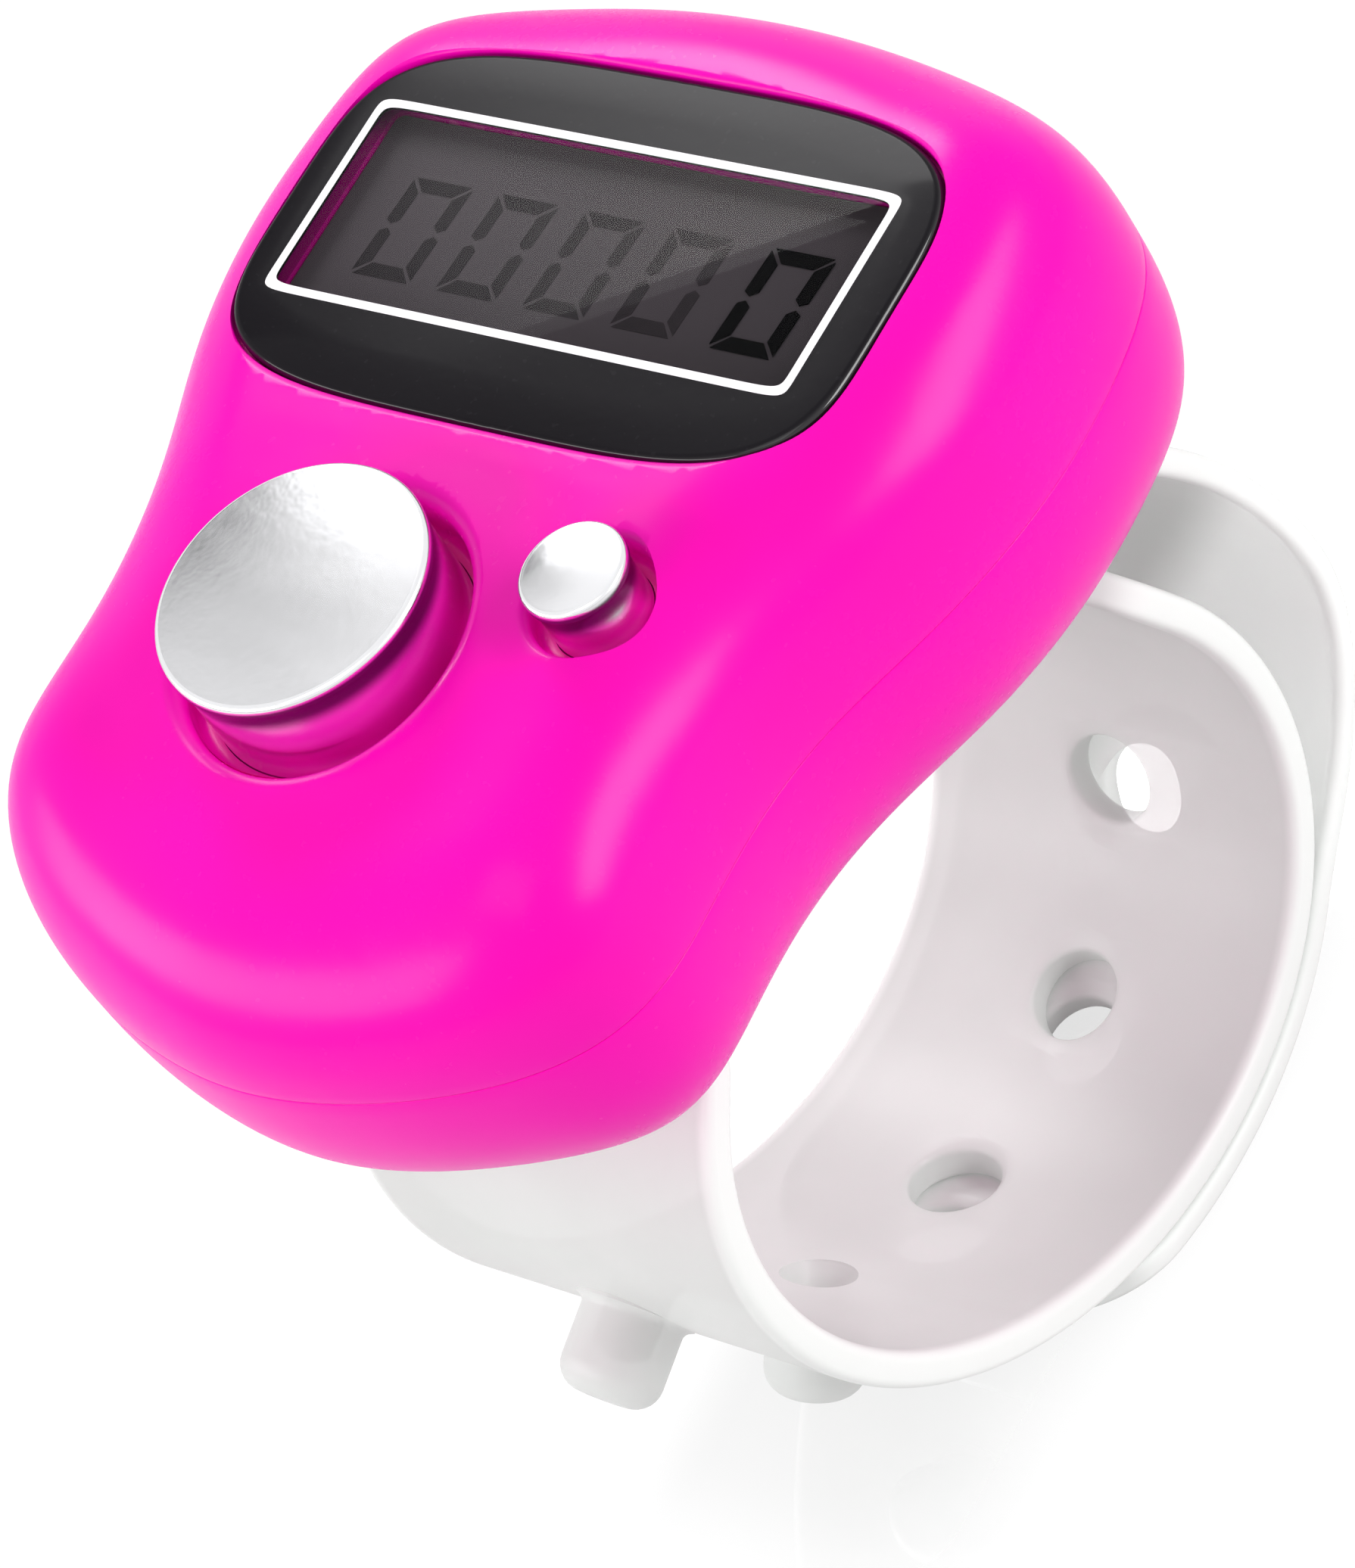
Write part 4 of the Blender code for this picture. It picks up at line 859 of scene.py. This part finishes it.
def segments(name, lefts, thick):
    """Noughts at the given left edges: each outline is copied to two heights, joined by quads and caps."""
    bars = segment_outlines()
    count = bars.shape[1]
    shifts = np.stack([lefts, np.zeros(len(lefts))], axis=-1)
    bars = (bars[None] + shifts[:, None, None]).reshape(-1, count, 2)
    bars[..., 0] += (bars[..., 1] - DIGIT_SIZE[1] / 2) * DIGIT_LEAN
    bars[..., 1] += DISPLAY_Y + DIGIT_BASE_Y
    low = with_height(bars, np.full(len(bars), INK_LEVEL))
    points = np.stack([low, low + (0, 0, thick)], axis=1)
    start = np.arange(len(bars))[:, None] * 2 * count
    here = np.arange(count)
    beside = (here + 1) % count
    walls = np.stack([start + here, start + beside, start + count + beside, start + count + here], axis=-1)
    caps = np.concatenate([start + here[::-1], start + count + here])
    return mesh_object(name, points, [walls.reshape(-1, 4), caps], sharp=None)


class COUNTER_OT_display(bpy.types.Operator):
    """Make the display's front glass, its dark nought and its four idle noughts."""

    bl_idname = "counter.display"
    bl_label = "Display"

    def execute(self, context):
        colours = context.scene.counter_colours
        low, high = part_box("lcd_front_glass")
        low, high = low / MM, high / MM
        top = high.z - FACE_LEVEL
        outline = rounded_box((high.x - low.x) / 2, (high.y - low.y) / 2, 0.2)
        outline += (0, (low.y + high.y) / 2 - SHIFT_Y - DISPLAY_Y)
        glass = slab_between("front_glass", outline, low.z - FACE_LEVEL, top, 0.08)
        raised = loft("view_glass", [view_box(0.06, 0.25)] * 2, [top - 0.2, DISPLAY_TOP])
        combine(glass, [raised], "UNION")
        dress(glass, display_look(colours.display), CASE, "display_glass", "lcd_front_glass")
        shown = segments("digit_shown", [LAST_DIGIT_X], 0.03)
        dress(shown, ink_look("dark segments", (0.004, 0.004, 0.005), 0.4), CASE, "display_glass")
        lefts = [LAST_DIGIT_X + IDLE_SHIFT - DIGIT_PITCH * k for k in (1, 2, 3, 4)]
        idle = segments("digits_idle", lefts, 0.01)
        dress(idle, ink_look("idle segments", shade(colours.display, 0.36), 0.35), CASE, "display_glass")
        return {"FINISHED"}


# Buttons

def cap_profile(radius, crown, rim, flange_top, nub_base):
    """Cap from its middle out: a faint dome, a round rim, a short step under it, side, flange and nub."""
    shoulder = crown - CAP_DOME - rim
    profile = [((radius - rim) * s, crown - CAP_DOME * s * s) for s in np.linspace(0, 1, 20)]
    profile += arc((radius - rim, shoulder), rim, 88, 0, 11)
    base = shoulder - CAP_SKIRT
    stem = radius - CAP_STEP
    flange = radius + CAP_FLANGE
    under = flange_top - FLANGE_THICK
    return profile + [
        (radius, base + 0.03), (radius - 0.01, base + 0.01), (radius - 0.03, base), (stem + 0.03, base),
        (stem + 0.01, base - 0.01), (stem, base - 0.03), (stem, base - 0.5), (stem, flange_top + 0.4),
        (stem, flange_top), (flange, flange_top), (flange, under), (NUB_RADIUS, under),
        (NUB_RADIUS, nub_base), (0, nub_base)]


class COUNTER_OT_buttons(bpy.types.Operator):
    """Make the two chromed buttons."""

    bl_idname = "counter.buttons"
    bl_label = "Buttons"

    def execute(self, context):
        for node, name, well, depth, lip, rim in BUTTONS:
            low, high = (corner.z / MM - FACE_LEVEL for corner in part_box(node))
            look = chrome_look(context.scene.counter_colours.chrome, high + FACE_LEVEL - rim - CAP_DOME)
            profile = cap_profile(radius_of(node), high, rim, -depth - WELL_FLOOR - FLANGE_GAP, low)
            cap = turned(name, profile, button_centre(node), 160, sharp=CAP_SHARP)
            dress(cap, look, node, "chromed_plastic", node)
        return {"FINISHED"}


def chrome_look(colour, edge):
    """Bright plating with faint handling marks; a dark strip of painted shade follows the skirt under the
    rim.
    """
    look = Look("bright plating", colour, 0.1, 1.0)
    height = look.axis(2)
    # Painted shade: just under the rim the plating is darkened almost to black.
    below = height.rise((edge - 1.0) * MM, (edge - 0.5) * MM)
    painted_shade_band = below * height.rise((edge - 0.1) * MM, edge * MM, 1.0, 0.0)
    smear = look.noise(260, 3, (1.0, 2.5, 1.0))
    fine = look.noise(3800, 1)
    roughness = 0.13 + smear * 0.06 + fine * 0.02
    bright = look.blend(smear, shade(colour, 0.96), colour)
    return look.finish(look.blend(painted_shade_band * 0.85, bright, (0.02, 0.02, 0.025)), roughness, fine, 0.0000015)


# Straps

def leaned(x, y):
    """Vectors of the ring's plane, turned by its lean."""
    lean = np.radians(RING_LEAN)
    turn = np.array([[np.cos(lean), np.sin(lean)], [-np.sin(lean), np.cos(lean)]])
    return np.stack([x, y], axis=-1) @ turn


def oval(angle, offset=0.0):
    """Points of the leaning oval at its own angles, moved out along its normals, as (y, z)."""
    turn = np.radians(np.asarray(angle, float))
    place = leaned(RING_RADII[0] * np.cos(turn), RING_RADII[1] * np.sin(turn))
    return place + RING_CENTRE + oval_normal(angle) * np.asarray(offset)[..., None]


def oval_normal(angle):
    """Outward unit normals of the oval: cosine and sine over the other radius, turned by the lean."""
    turn = np.radians(np.asarray(angle, float))
    normal = leaned(np.cos(turn) / RING_RADII[0], np.sin(turn) / RING_RADII[1])
    return normal / np.linalg.norm(normal, axis=-1, keepdims=True)


def middle_offset(node, angle):
    """How far a strap's middle lies outside the oval; the short one swings out by a smooth step."""
    if node == "long_strap":
        return LONG_THICK / 2
    share = np.clip((angle - WING_ANGLES[0]) / (WING_ANGLES[1] - WING_ANGLES[0]), 0, 1)
    return LONG_THICK + STRAP_GAP + SHORT_THICK / 2 + WING_GAP * (share * share * (3 - 2 * share))


def strap_path(root_y, arc_points, tail):
    """Middle line from the anchor through the slot, in a cubic bend to the arc, and on to its tail."""
    inside = np.array([root_y, ANCHOR_LEVEL + ANCHOR_THICK])
    mouth = np.array([root_y, -BODY_DEPTH - 0.5])
    first = arc_points[0]
    heading = arc_points[1] - first
    heading = heading / np.linalg.norm(heading)
    reach = np.linalg.norm(first - mouth) / 2
    share = np.linspace(0, 1, 24)[1:-1, None]
    bend = ((1 - share) ** 3 * mouth + 3 * (1 - share) ** 2 * share * (mouth - (0, reach))
            + 3 * (1 - share) * share ** 2 * (first - heading * reach) + share ** 3 * first)
    parts = [inside[None], mouth[None], bend, arc_points]
    if tail:
        last = arc_points[-1] - arc_points[-2]
        parts.append((arc_points[-1] + last / np.linalg.norm(last) * tail)[None])
    line = np.concatenate(parts)
    along = np.concatenate([[0], np.cumsum(np.linalg.norm(np.diff(line, axis=0), axis=1))])
    even = np.arange(0, along[-1], PATH_STEP)
    even = np.concatenate([even[:-1], along[-1] - PATH_STEP * np.array(PATH_END)])
    return np.stack([np.interp(even, along, line[:, k]) for k in (0, 1)], axis=-1), even


def strap_points(path, along, thick):
    """The section carried along the path; its half width follows a quarter ellipse at the tip."""
    heading = np.gradient(path, axis=0)
    heading /= np.linalg.norm(heading, axis=1)[:, None]
    across = np.stack([-heading[:, 1], heading[:, 0]], axis=-1)
    left = along[-1] - along
    share = np.clip(left / TIP_LENGTH, 0, 1)
    half = STRAP_WIDTH / 2 * (TIP_SHARE + (1 - TIP_SHARE) * np.sqrt(1 - (1 - share) ** 2))
    corner = min(STRAP_ROUND, thick * 0.45)
    end = np.clip(left / corner, 0, 1)
    swell = np.sqrt(1 - (1 - end) ** 2)
    turn = np.radians(np.arange(0, 360, 90)[:, None] + np.linspace(0, 90, 6)).ravel()
    side_x = np.repeat([1, -1, -1, 1], 6)
    side_t = np.repeat([1, 1, -1, -1], 6)
    x = with_faces(side_x * (half[:, None] - corner) + np.cos(turn) * corner)
    t = (side_t * (thick / 2 - corner) + np.sin(turn) * corner) * np.maximum(swell, 0.12)[:, None]
    t = with_faces(t)
    return np.stack([x, path[:, :1] + across[:, :1] * t, path[:, 1:] + across[:, 1:] * t], axis=-1)


def with_faces(columns):
    """Adds ten even columns over each wide face, between the six columns of its two corners."""
    fill = np.linspace(0, 1, 12)[1:-1]
    outer, inner = (columns[:, k - 1:k] * (1 - fill) + columns[:, k:k + 1] * fill for k in (6, 18))
    return np.concatenate([columns[:, :6], outer, columns[:, 6:18], inner, columns[:, 18:]], axis=1)


def radial_tools(name, angles, profiles):
    """Turned tools whose axes are the oval's normals at the angles; heights count out from the oval."""
    tools = []
    for index, (angle, profile) in enumerate(zip(angles, profiles)):
        flat = turned_points(profile, (0, 0), 48)
        normal = oval_normal(angle)
        base = oval(angle)
        y = base[0] + normal[0] * flat[..., 2] - normal[1] * flat[..., 1]
        z = base[1] + normal[1] * flat[..., 2] + normal[0] * flat[..., 1]
        tools.append(surface("%s_%d" % (name, index), np.stack([flat[..., 0], y, z], axis=-1), keep=False))
    return tools


def hole_profile(middle, thick):
    """Hourglass that cuts a hole with a rounded edge on both faces of a strap."""
    low, high = middle - thick / 2, middle + thick / 2
    upper = [(HOLE_RADIUS + HOLE_EDGE * (1 - np.sin(a)), high - HOLE_EDGE + HOLE_EDGE * np.cos(a))
             for a in np.linspace(0.35, np.pi / 2, 5)]
    lower = [(r, low + high - z) for r, z in reversed(upper)]
    reach = 0.4
    wide = upper[0][0] + reach * 2
    return [(0, high + reach), (wide, high + reach), *upper, *lower, (wide, low - reach), (0, low - reach)]


def peg_profile():
    """Peg with a round foot on the strap and a rounded tip."""
    tip = LONG_THICK + PEG_LENGTH
    wide = PEG_RADIUS + PEG_FOOT
    foot = [(PEG_RADIUS + PEG_FOOT * (1 - np.sin(a)), LONG_THICK + PEG_FOOT * (1 - np.cos(a)))
            for a in np.linspace(0.3, np.pi / 2, 5)]
    return [(0, LONG_THICK * 0.5), (wide, LONG_THICK * 0.5), (wide, LONG_THICK - 0.02), *foot,
            *arc((PEG_RADIUS - PEG_EDGE, tip - PEG_EDGE), PEG_EDGE, 0, 90, 8), (0, tip)]


class COUNTER_OT_straps(bpy.types.Operator):
    """Make the long strap with its pegs and the short strap that lies outside it."""

    bl_idname = "counter.straps"
    bl_label = "Straps"

    def execute(self, context):
        look = strap_look(context.scene.counter_colours.strap)
        for node, name, root_y, thick, ends, tail, shift in STRAPS:
            angles = np.linspace(*ends, 200)
            path, along = strap_path(root_y, oval(angles, middle_offset(node, angles)), tail)
            strap = loft(name + "_band", strap_points(path, along, thick))
            tools = []
            if node == "long_strap":
                count = len(PEG_ANGLES)
                pegs = radial_tools("peg", PEG_ANGLES, [peg_profile()] * count)
                combine(strap, pegs, "UNION", STRAP_SHARP)
                tools += radial_tools("bore", PEG_ANGLES, [PEG_BORE] * count)
            angles = np.array(HOLE_ANGLES) + shift
            profiles = [hole_profile(middle_offset(node, angle), thick) for angle in angles]
            combine(strap, tools + radial_tools(name + "_hole", angles, profiles), sharp=STRAP_SHARP)
            dress(strap, look, CASE, "milky_strap", node)
            self.anchor(name + "_anchor", root_y, thick, look)
        return {"FINISHED"}

    def anchor(self, name, root_y, thick, look):
        """Foot that holds a strap behind the floor of the body."""
        heel = root_y + np.copysign(thick / 2, root_y)
        toe = root_y - np.copysign(thick / 2 + ANCHOR_TOE, root_y)
        half = (STRAP_WIDTH / 2 + ANCHOR_SIDE, abs(heel - toe) / 2)
        outline = superellipse(half, 14, 64) + (0, (heel + toe) / 2)
        made = loft(name, [outline, outline], [ANCHOR_LEVEL, ANCHOR_LEVEL + ANCHOR_THICK])
        dress(made, look, CASE, "milky_strap")


def strap_look(colour):
    """Milky soft plastic that lets a little through, less at its edges; painted light makes the edges paler
    and a faint painted glow stands for light passing through; with a mottle and a sheen.
    """
    # Painted light: a faint white emission is a painted glow for light passing through the strap.
    look = Look("milky soft plastic", colour, 0.35, Alpha=0.8, Specular_IOR_Level=0.3,
                Emission_Strength=0.05, Emission_Color=(0.92, 0.94, 0.93, 1.0))
    # Painted light: the strap's cut edges are made paler, as if lit; the same edge mask also makes them less
    # clear.
    edge = abs(look.axis(0)).rise(0.0058, 0.0063)
    cloud = look.noise(130, 3)
    mottled = look.blend(cloud.rise(0.3, 0.7), shade(colour, 0.93), colour)
    base = look.blend(edge, mottled, tuple(min(c, 0.93) for c in shade(colour, 1.2)))
    roughness = 0.3 + cloud * 0.12
    look.feed("Alpha", 0.72 + edge * 0.22)
    return look.finish(base, roughness, look.noise(700, 2) + cloud * 0.4, 0.000015)


# Inner parts

class COUNTER_OT_inner(bpy.types.Operator):
    """Give the nodes inside the body, and its screws, their materials."""

    bl_idname = "counter.inner"
    bl_label = "Inner parts"

    def execute(self, context):
        for name, look in inner_looks().items():
            for node in INNER_NODES[name]:
                if node not in frame["nodes"]:
                    raise RuntimeError("the frame has no node " + node)
                mesh = frame["nodes"][node].data
                mesh.materials.clear()
                mesh.materials.append(look.material)
        return {"FINISHED"}


INNER_NODES = {
    "steel": (*CASE_SCREWS, "board_screw_left", "board_screw_right"),
    "cell": ("button_cell",),
    "contact": ("positive_contact", "negative_contact"),
    "board": ("circuit_board",),
    "resin": ("chip_drop",),
    "capacitor": ("capacitor_left", "capacitor_right"),
    "switch": ("count_switch_base", "reset_switch_base"),
    "plunger": ("count_switch_plunger", "reset_switch_plunger"),
    "holder": ("lcd_holder",),
    "rubber": ("zebra_strip",),
    "rear_glass": ("lcd_rear_glass",),
    "reflector": ("lcd_reflector",),
}


def grained_look(name, colour, roughness, metallic=0.0, scale=1500, stretch=(1.0, 1.0, 1.0), depth=0.000004):
    """Plain finish with a grain in its colour, gloss and surface."""
    look = Look(name, colour, roughness, metallic)
    grain = look.noise(scale, 3, stretch)
    base = look.blend(grain.rise(0.3, 0.7), shade(colour, 0.86), colour)
    return look.finish(base, roughness * 0.8 + grain * roughness * 0.4, grain, depth)


def inner_looks():
    """Materials of the inner parts by name."""
    board = Look("green board", (0.02, 0.18, 0.06), 0.4)
    track = board.bands("DIAGONAL", Scale=420.0, Distortion=6.0, Detail=1.0).rise(0.55, 0.65)
    base = board.blend(track, (0.02, 0.16, 0.05), (0.05, 0.30, 0.12))
    board.finish(base, 0.45 - track * 0.12, track, 0.00003)

    capacitor = Look("ceramic with tinned ends", (0.45, 0.33, 0.20), 0.45)
    tin = abs(abs(capacitor.axis(0)) - CAPACITOR_X).above(TIN_START)
    grain = capacitor.noise(4000, 1)
    base = capacitor.blend(tin, (0.45, 0.33, 0.20), (0.75, 0.74, 0.72))
    capacitor.feed("Metallic", tin)
    capacitor.finish(base, 0.5 - tin * 0.2 + grain * 0.1, grain, 0.000005)

    rubber = Look("striped rubber", (0.06, 0.06, 0.07), 0.6)
    stripes = rubber.bands("X", Scale=900.0).rise(0.45, 0.55)
    base = rubber.blend(stripes, (0.02, 0.02, 0.02), (0.30, 0.30, 0.32))
    rubber.finish(base, 0.55 + stripes * 0.15, stripes, 0.00001)

    return {
        "steel": grained_look("plated steel", (0.60, 0.60, 0.62), 0.28, 1.0, 2600),
        "cell": grained_look("cell can", (0.66, 0.66, 0.68), 0.25, 1.0, 1800, (1.0, 4.0, 1.0)),
        "contact": grained_look("nickel spring strip", (0.70, 0.66, 0.58), 0.3, 1.0, 2200, (4.0, 1.0, 1.0)),
        "board": board,
        "resin": grained_look("black resin", (0.02, 0.02, 0.02), 0.3, 0.0, 500),
        "capacitor": capacitor,
        "switch": grained_look("black moulding", (0.05, 0.05, 0.06), 0.5, 0.0, 2400),
        "plunger": grained_look("red moulding", (0.50, 0.05, 0.04), 0.45, 0.0, 2400),
        "holder": grained_look("white moulding", (0.75, 0.75, 0.74), 0.5, 0.0, 1600),
        "rubber": rubber,
        "rear_glass": grained_look("grey glass", (0.32, 0.33, 0.33), 0.15, 0.0, 900, depth=0.000001),
        "reflector": grained_look("silver film", (0.45, 0.45, 0.46), 0.4, 0.7, 3200, (1.0, 6.0, 1.0)),
    }


# Stage

class COUNTER_OT_stage(bpy.types.Operator):
    """Set up the floor, the lights, the world and the camera."""

    bl_idname = "counter.stage"
    bl_label = "Stage"

    def execute(self, context):
        self.world(context.scene)
        self.floor()
        self.lights()
        self.cards()
        self.camera(context.scene)
        context.scene.view_settings.view_transform = "Standard"
        return {"FINISHED"}

    def world(self, scene):
        """White for the camera and in mirrors, and a softer white as light."""
        scene.world = scene.world or bpy.data.worlds.new("studio")
        scene.world.use_nodes = True
        tree = scene.world.node_tree
        tree.nodes.clear()
        seen = [add_node(tree, "ShaderNodeLightPath", output=name) for name in
                ("Is Camera Ray", "Is Glossy Ray", "Is Transmission Ray")]
        shown = seen[0].math("MAXIMUM", seen[1]).math("MAXIMUM", seen[2])
        sky = add_node(tree, "ShaderNodeBackground",
                       inputs={"Color": WHITE, "Strength": WORLD_LIGHT + shown * (1 - WORLD_LIGHT)})
        out = tree.nodes.new("ShaderNodeOutputWorld")
        tree.links.new(sky.socket, out.inputs["Surface"])

    def floor(self):
        """Pale floor that stays white to the camera but keeps a soft shadow and a faint mirror image."""
        corners = np.array([[-1, -1], [-1, 1], [1, 1], [1, -1]]) * FLOOR_SIZE
        floor = square("floor", np.column_stack([corners, np.full(4, -FACE_LEVEL - FLOOR_GAP)]))
        look = Look("pale floor", (0.7, 0.7, 0.7), 0.4, Specular_IOR_Level=0.1)
        path = add_node(look.tree, "ShaderNodeLightPath", output="Is Camera Ray")
        glow = add_node(look.tree, "ShaderNodeEmission", inputs={"Color": WHITE, "Strength": FLOOR_GLOW})
        mirror = look.mirror(0.05)
        across = look.axis(0)
        share = across.rise(*MIRROR_LEFT) * across.rise(*MIRROR_RIGHT) * look.axis(1).rise(*MIRROR_FRONT)
        shown = look.mix(share, glow, mirror)
        look.show(look.mix(path * FLOOR_SHARE, Wire(look.tree, look.shader.outputs[0]), shown))
        floor.data.materials.append(look.material)
        floor.data.flip_normals()

    def stand(self, name, data, place, axes):
        """Adds a lamp or a camera at a place in millimetres, turned by its own three axes."""
        holder = bpy.data.objects.new(name, data)
        bpy.context.scene.collection.objects.link(holder)
        turn = Matrix(axes).transposed().to_4x4()
        holder.matrix_world = Matrix.Translation(Vector(place) * MM) @ turn
        return holder

    def lights(self):
        """A soft key on the camera's side, and two strips whose mirror images make the long highlights."""
        for name, place, along, size, power in LAMPS:
            lamp = bpy.data.lights.new(name, "AREA")
            lamp.shape = "RECTANGLE"
            lamp.size = size[0] * MM
            lamp.size_y = size[1] * MM
            lamp.energy = power
            back = (Vector(place) - Vector(LAMP_AIM)).normalized()
            side = (Vector(along) - back * back.dot(Vector(along))).normalized()
            self.stand(name, lamp, place, (side, back.cross(side), back))

    def cards(self):
        """Two cards seen only in mirrors.

        The bright one's edge crosses the window from its lower left to its upper right, and it fades
        towards the lower left. The grey one shades the middle of the caps and fades into the white round it.
        """
        low, high, facing = np.array(CARD_LOW), np.array(CARD_HIGH), np.array(CARD_FACING)
        along = (high - low) / np.linalg.norm(high - low)
        aside = np.cross(along, facing)
        middle = (low + high) / 2
        half_x, half_y = (size / 2 for size in CARD_SIZE)
        bright = self.card("bright_card", middle + aside * half_y, along * half_x, aside * half_y)
        run = self.vector(bright, "DOT_PRODUCT", along) - float(middle @ along) * MM
        bright.feed("Emission Color", bright.blend(run.rise(*CARD_FADE), (0, 0, 0), (1, 1, 1)))
        bright.shader.inputs["Emission Strength"].default_value = CARD_GLOW
        half = GREY_CARD_SIZE / 2
        grey = self.card("grey_card", np.array(GREY_CARD_PLACE), along * half, aside * half)
        away = self.vector(grey, "DISTANCE", [v * MM for v in GREY_CARD_PLACE])
        grey.feed("Emission Color", grey.blend(away.rise(0.0, half * MM), (GREY_CARD_SHADE,) * 3, (1, 1, 1)))
        grey.shader.inputs["Emission Strength"].default_value = 1.0

    def vector(self, look, operation, other):
        """Object coordinates against another vector, as a value."""
        return add_node(look.tree, "ShaderNodeVectorMath", {"operation": operation},
                        {0: look.place(), 1: tuple(other)}, "Value")

    def card(self, name, middle, side, tall):
        """Flat card that neither the camera nor the shadows show."""
        corners = [middle - side - tall, middle + side - tall, middle + side + tall, middle - side + tall]
        card = square(name, np.array(corners) - (0, SHIFT_Y, FACE_LEVEL))
        look = Look(name, (0, 0, 0), 1.0, Specular_IOR_Level=0.0)
        card.data.materials.append(look.material)
        card.visible_camera = False
        card.visible_shadow = False
        return look

    def camera(self, scene):
        """Camera at the photograph's angle, from its right and up axes."""
        settings = scene.counter_camera
        lens = bpy.data.cameras.new("camera")
        lens.lens = settings.lens
        lens.sensor_width = 36.0
        lens.clip_start = 0.01
        lens.clip_end = 5.0
        right = Vector(CAMERA_RIGHT).normalized()
        up = Vector(CAMERA_UP)
        up = (up - right * up.dot(right)).normalized()
        scene.camera = self.stand("camera", lens, settings.place, (right, up, right.cross(up)))


def colour_property(name, description, default):
    """Colour that a user can change."""
    return bpy.props.FloatVectorProperty(name=name, description=description, subtype="COLOR", size=3,
                                         default=default, min=0, max=1)


class COUNTER_colours(bpy.types.PropertyGroup):
    """Colours that a user would change."""

    body: colour_property("Body", "Colour of the two mouldings", srgb(250, 0, 180))
    bezel: colour_property("Window print", "Dark print round the display", srgb(20, 18, 22))
    frame_line: colour_property("Frame line", "Line round the display", srgb(250, 245, 250))
    display: colour_property("Display", "Display where nothing is shown", srgb(128, 118, 126))
    chrome: colour_property("Plating", "Colour of the buttons", (0.88, 0.88, 0.90))
    strap: colour_property("Straps", "Colour of the milky straps", srgb(220, 222, 220))


class COUNTER_camera(bpy.types.PropertyGroup):
    """Where the photograph was taken from."""

    place: bpy.props.FloatVectorProperty(name="Place", description="Camera's place in millimetres", size=3,
                                         default=CAMERA_PLACE)
    lens: bpy.props.FloatProperty(name="Lens", description="Focal length in millimetres",
                                  default=CAMERA_LENS, min=20)


class COUNTER_PT_panel(bpy.types.Panel):
    """Lists the steps in the 3D view's sidebar."""

    bl_label = "Finger counter"
    bl_space_type = "VIEW_3D"
    bl_region_type = "UI"
    bl_category = "Counter"

    def draw(self, context):
        for step in STEPS:
            self.layout.operator(step.bl_idname)
        for name in ("body", "bezel", "frame_line", "display", "chrome", "strap"):
            self.layout.prop(context.scene.counter_colours, name)
        for name in ("place", "lens"):
            self.layout.prop(context.scene.counter_camera, name)


STEPS = (COUNTER_OT_shells, COUNTER_OT_window, COUNTER_OT_display, COUNTER_OT_buttons, COUNTER_OT_straps,
         COUNTER_OT_inner, COUNTER_OT_stage)
CLASSES = (COUNTER_colours, COUNTER_camera, *STEPS, COUNTER_PT_panel)


def register():
    for item in CLASSES:
        bpy.utils.register_class(item)
    bpy.types.Scene.counter_colours = bpy.props.PointerProperty(type=COUNTER_colours)
    bpy.types.Scene.counter_camera = bpy.props.PointerProperty(type=COUNTER_camera)


def unregister():
    del bpy.types.Scene.counter_camera
    del bpy.types.Scene.counter_colours
    for item in reversed(CLASSES):
        bpy.utils.unregister_class(item)


def main():
    for spare in list(bpy.data.objects):
        if spare.name in ("Cube", "Light", "Camera"):
            bpy.data.objects.remove(spare)
    register()
    bpy.ops.counter.shells()
    bpy.ops.counter.window()
    bpy.ops.counter.display()
    bpy.ops.counter.buttons()
    bpy.ops.counter.straps()
    bpy.ops.counter.inner()
    bpy.ops.counter.stage()


if __name__ == "__main__":
    main()
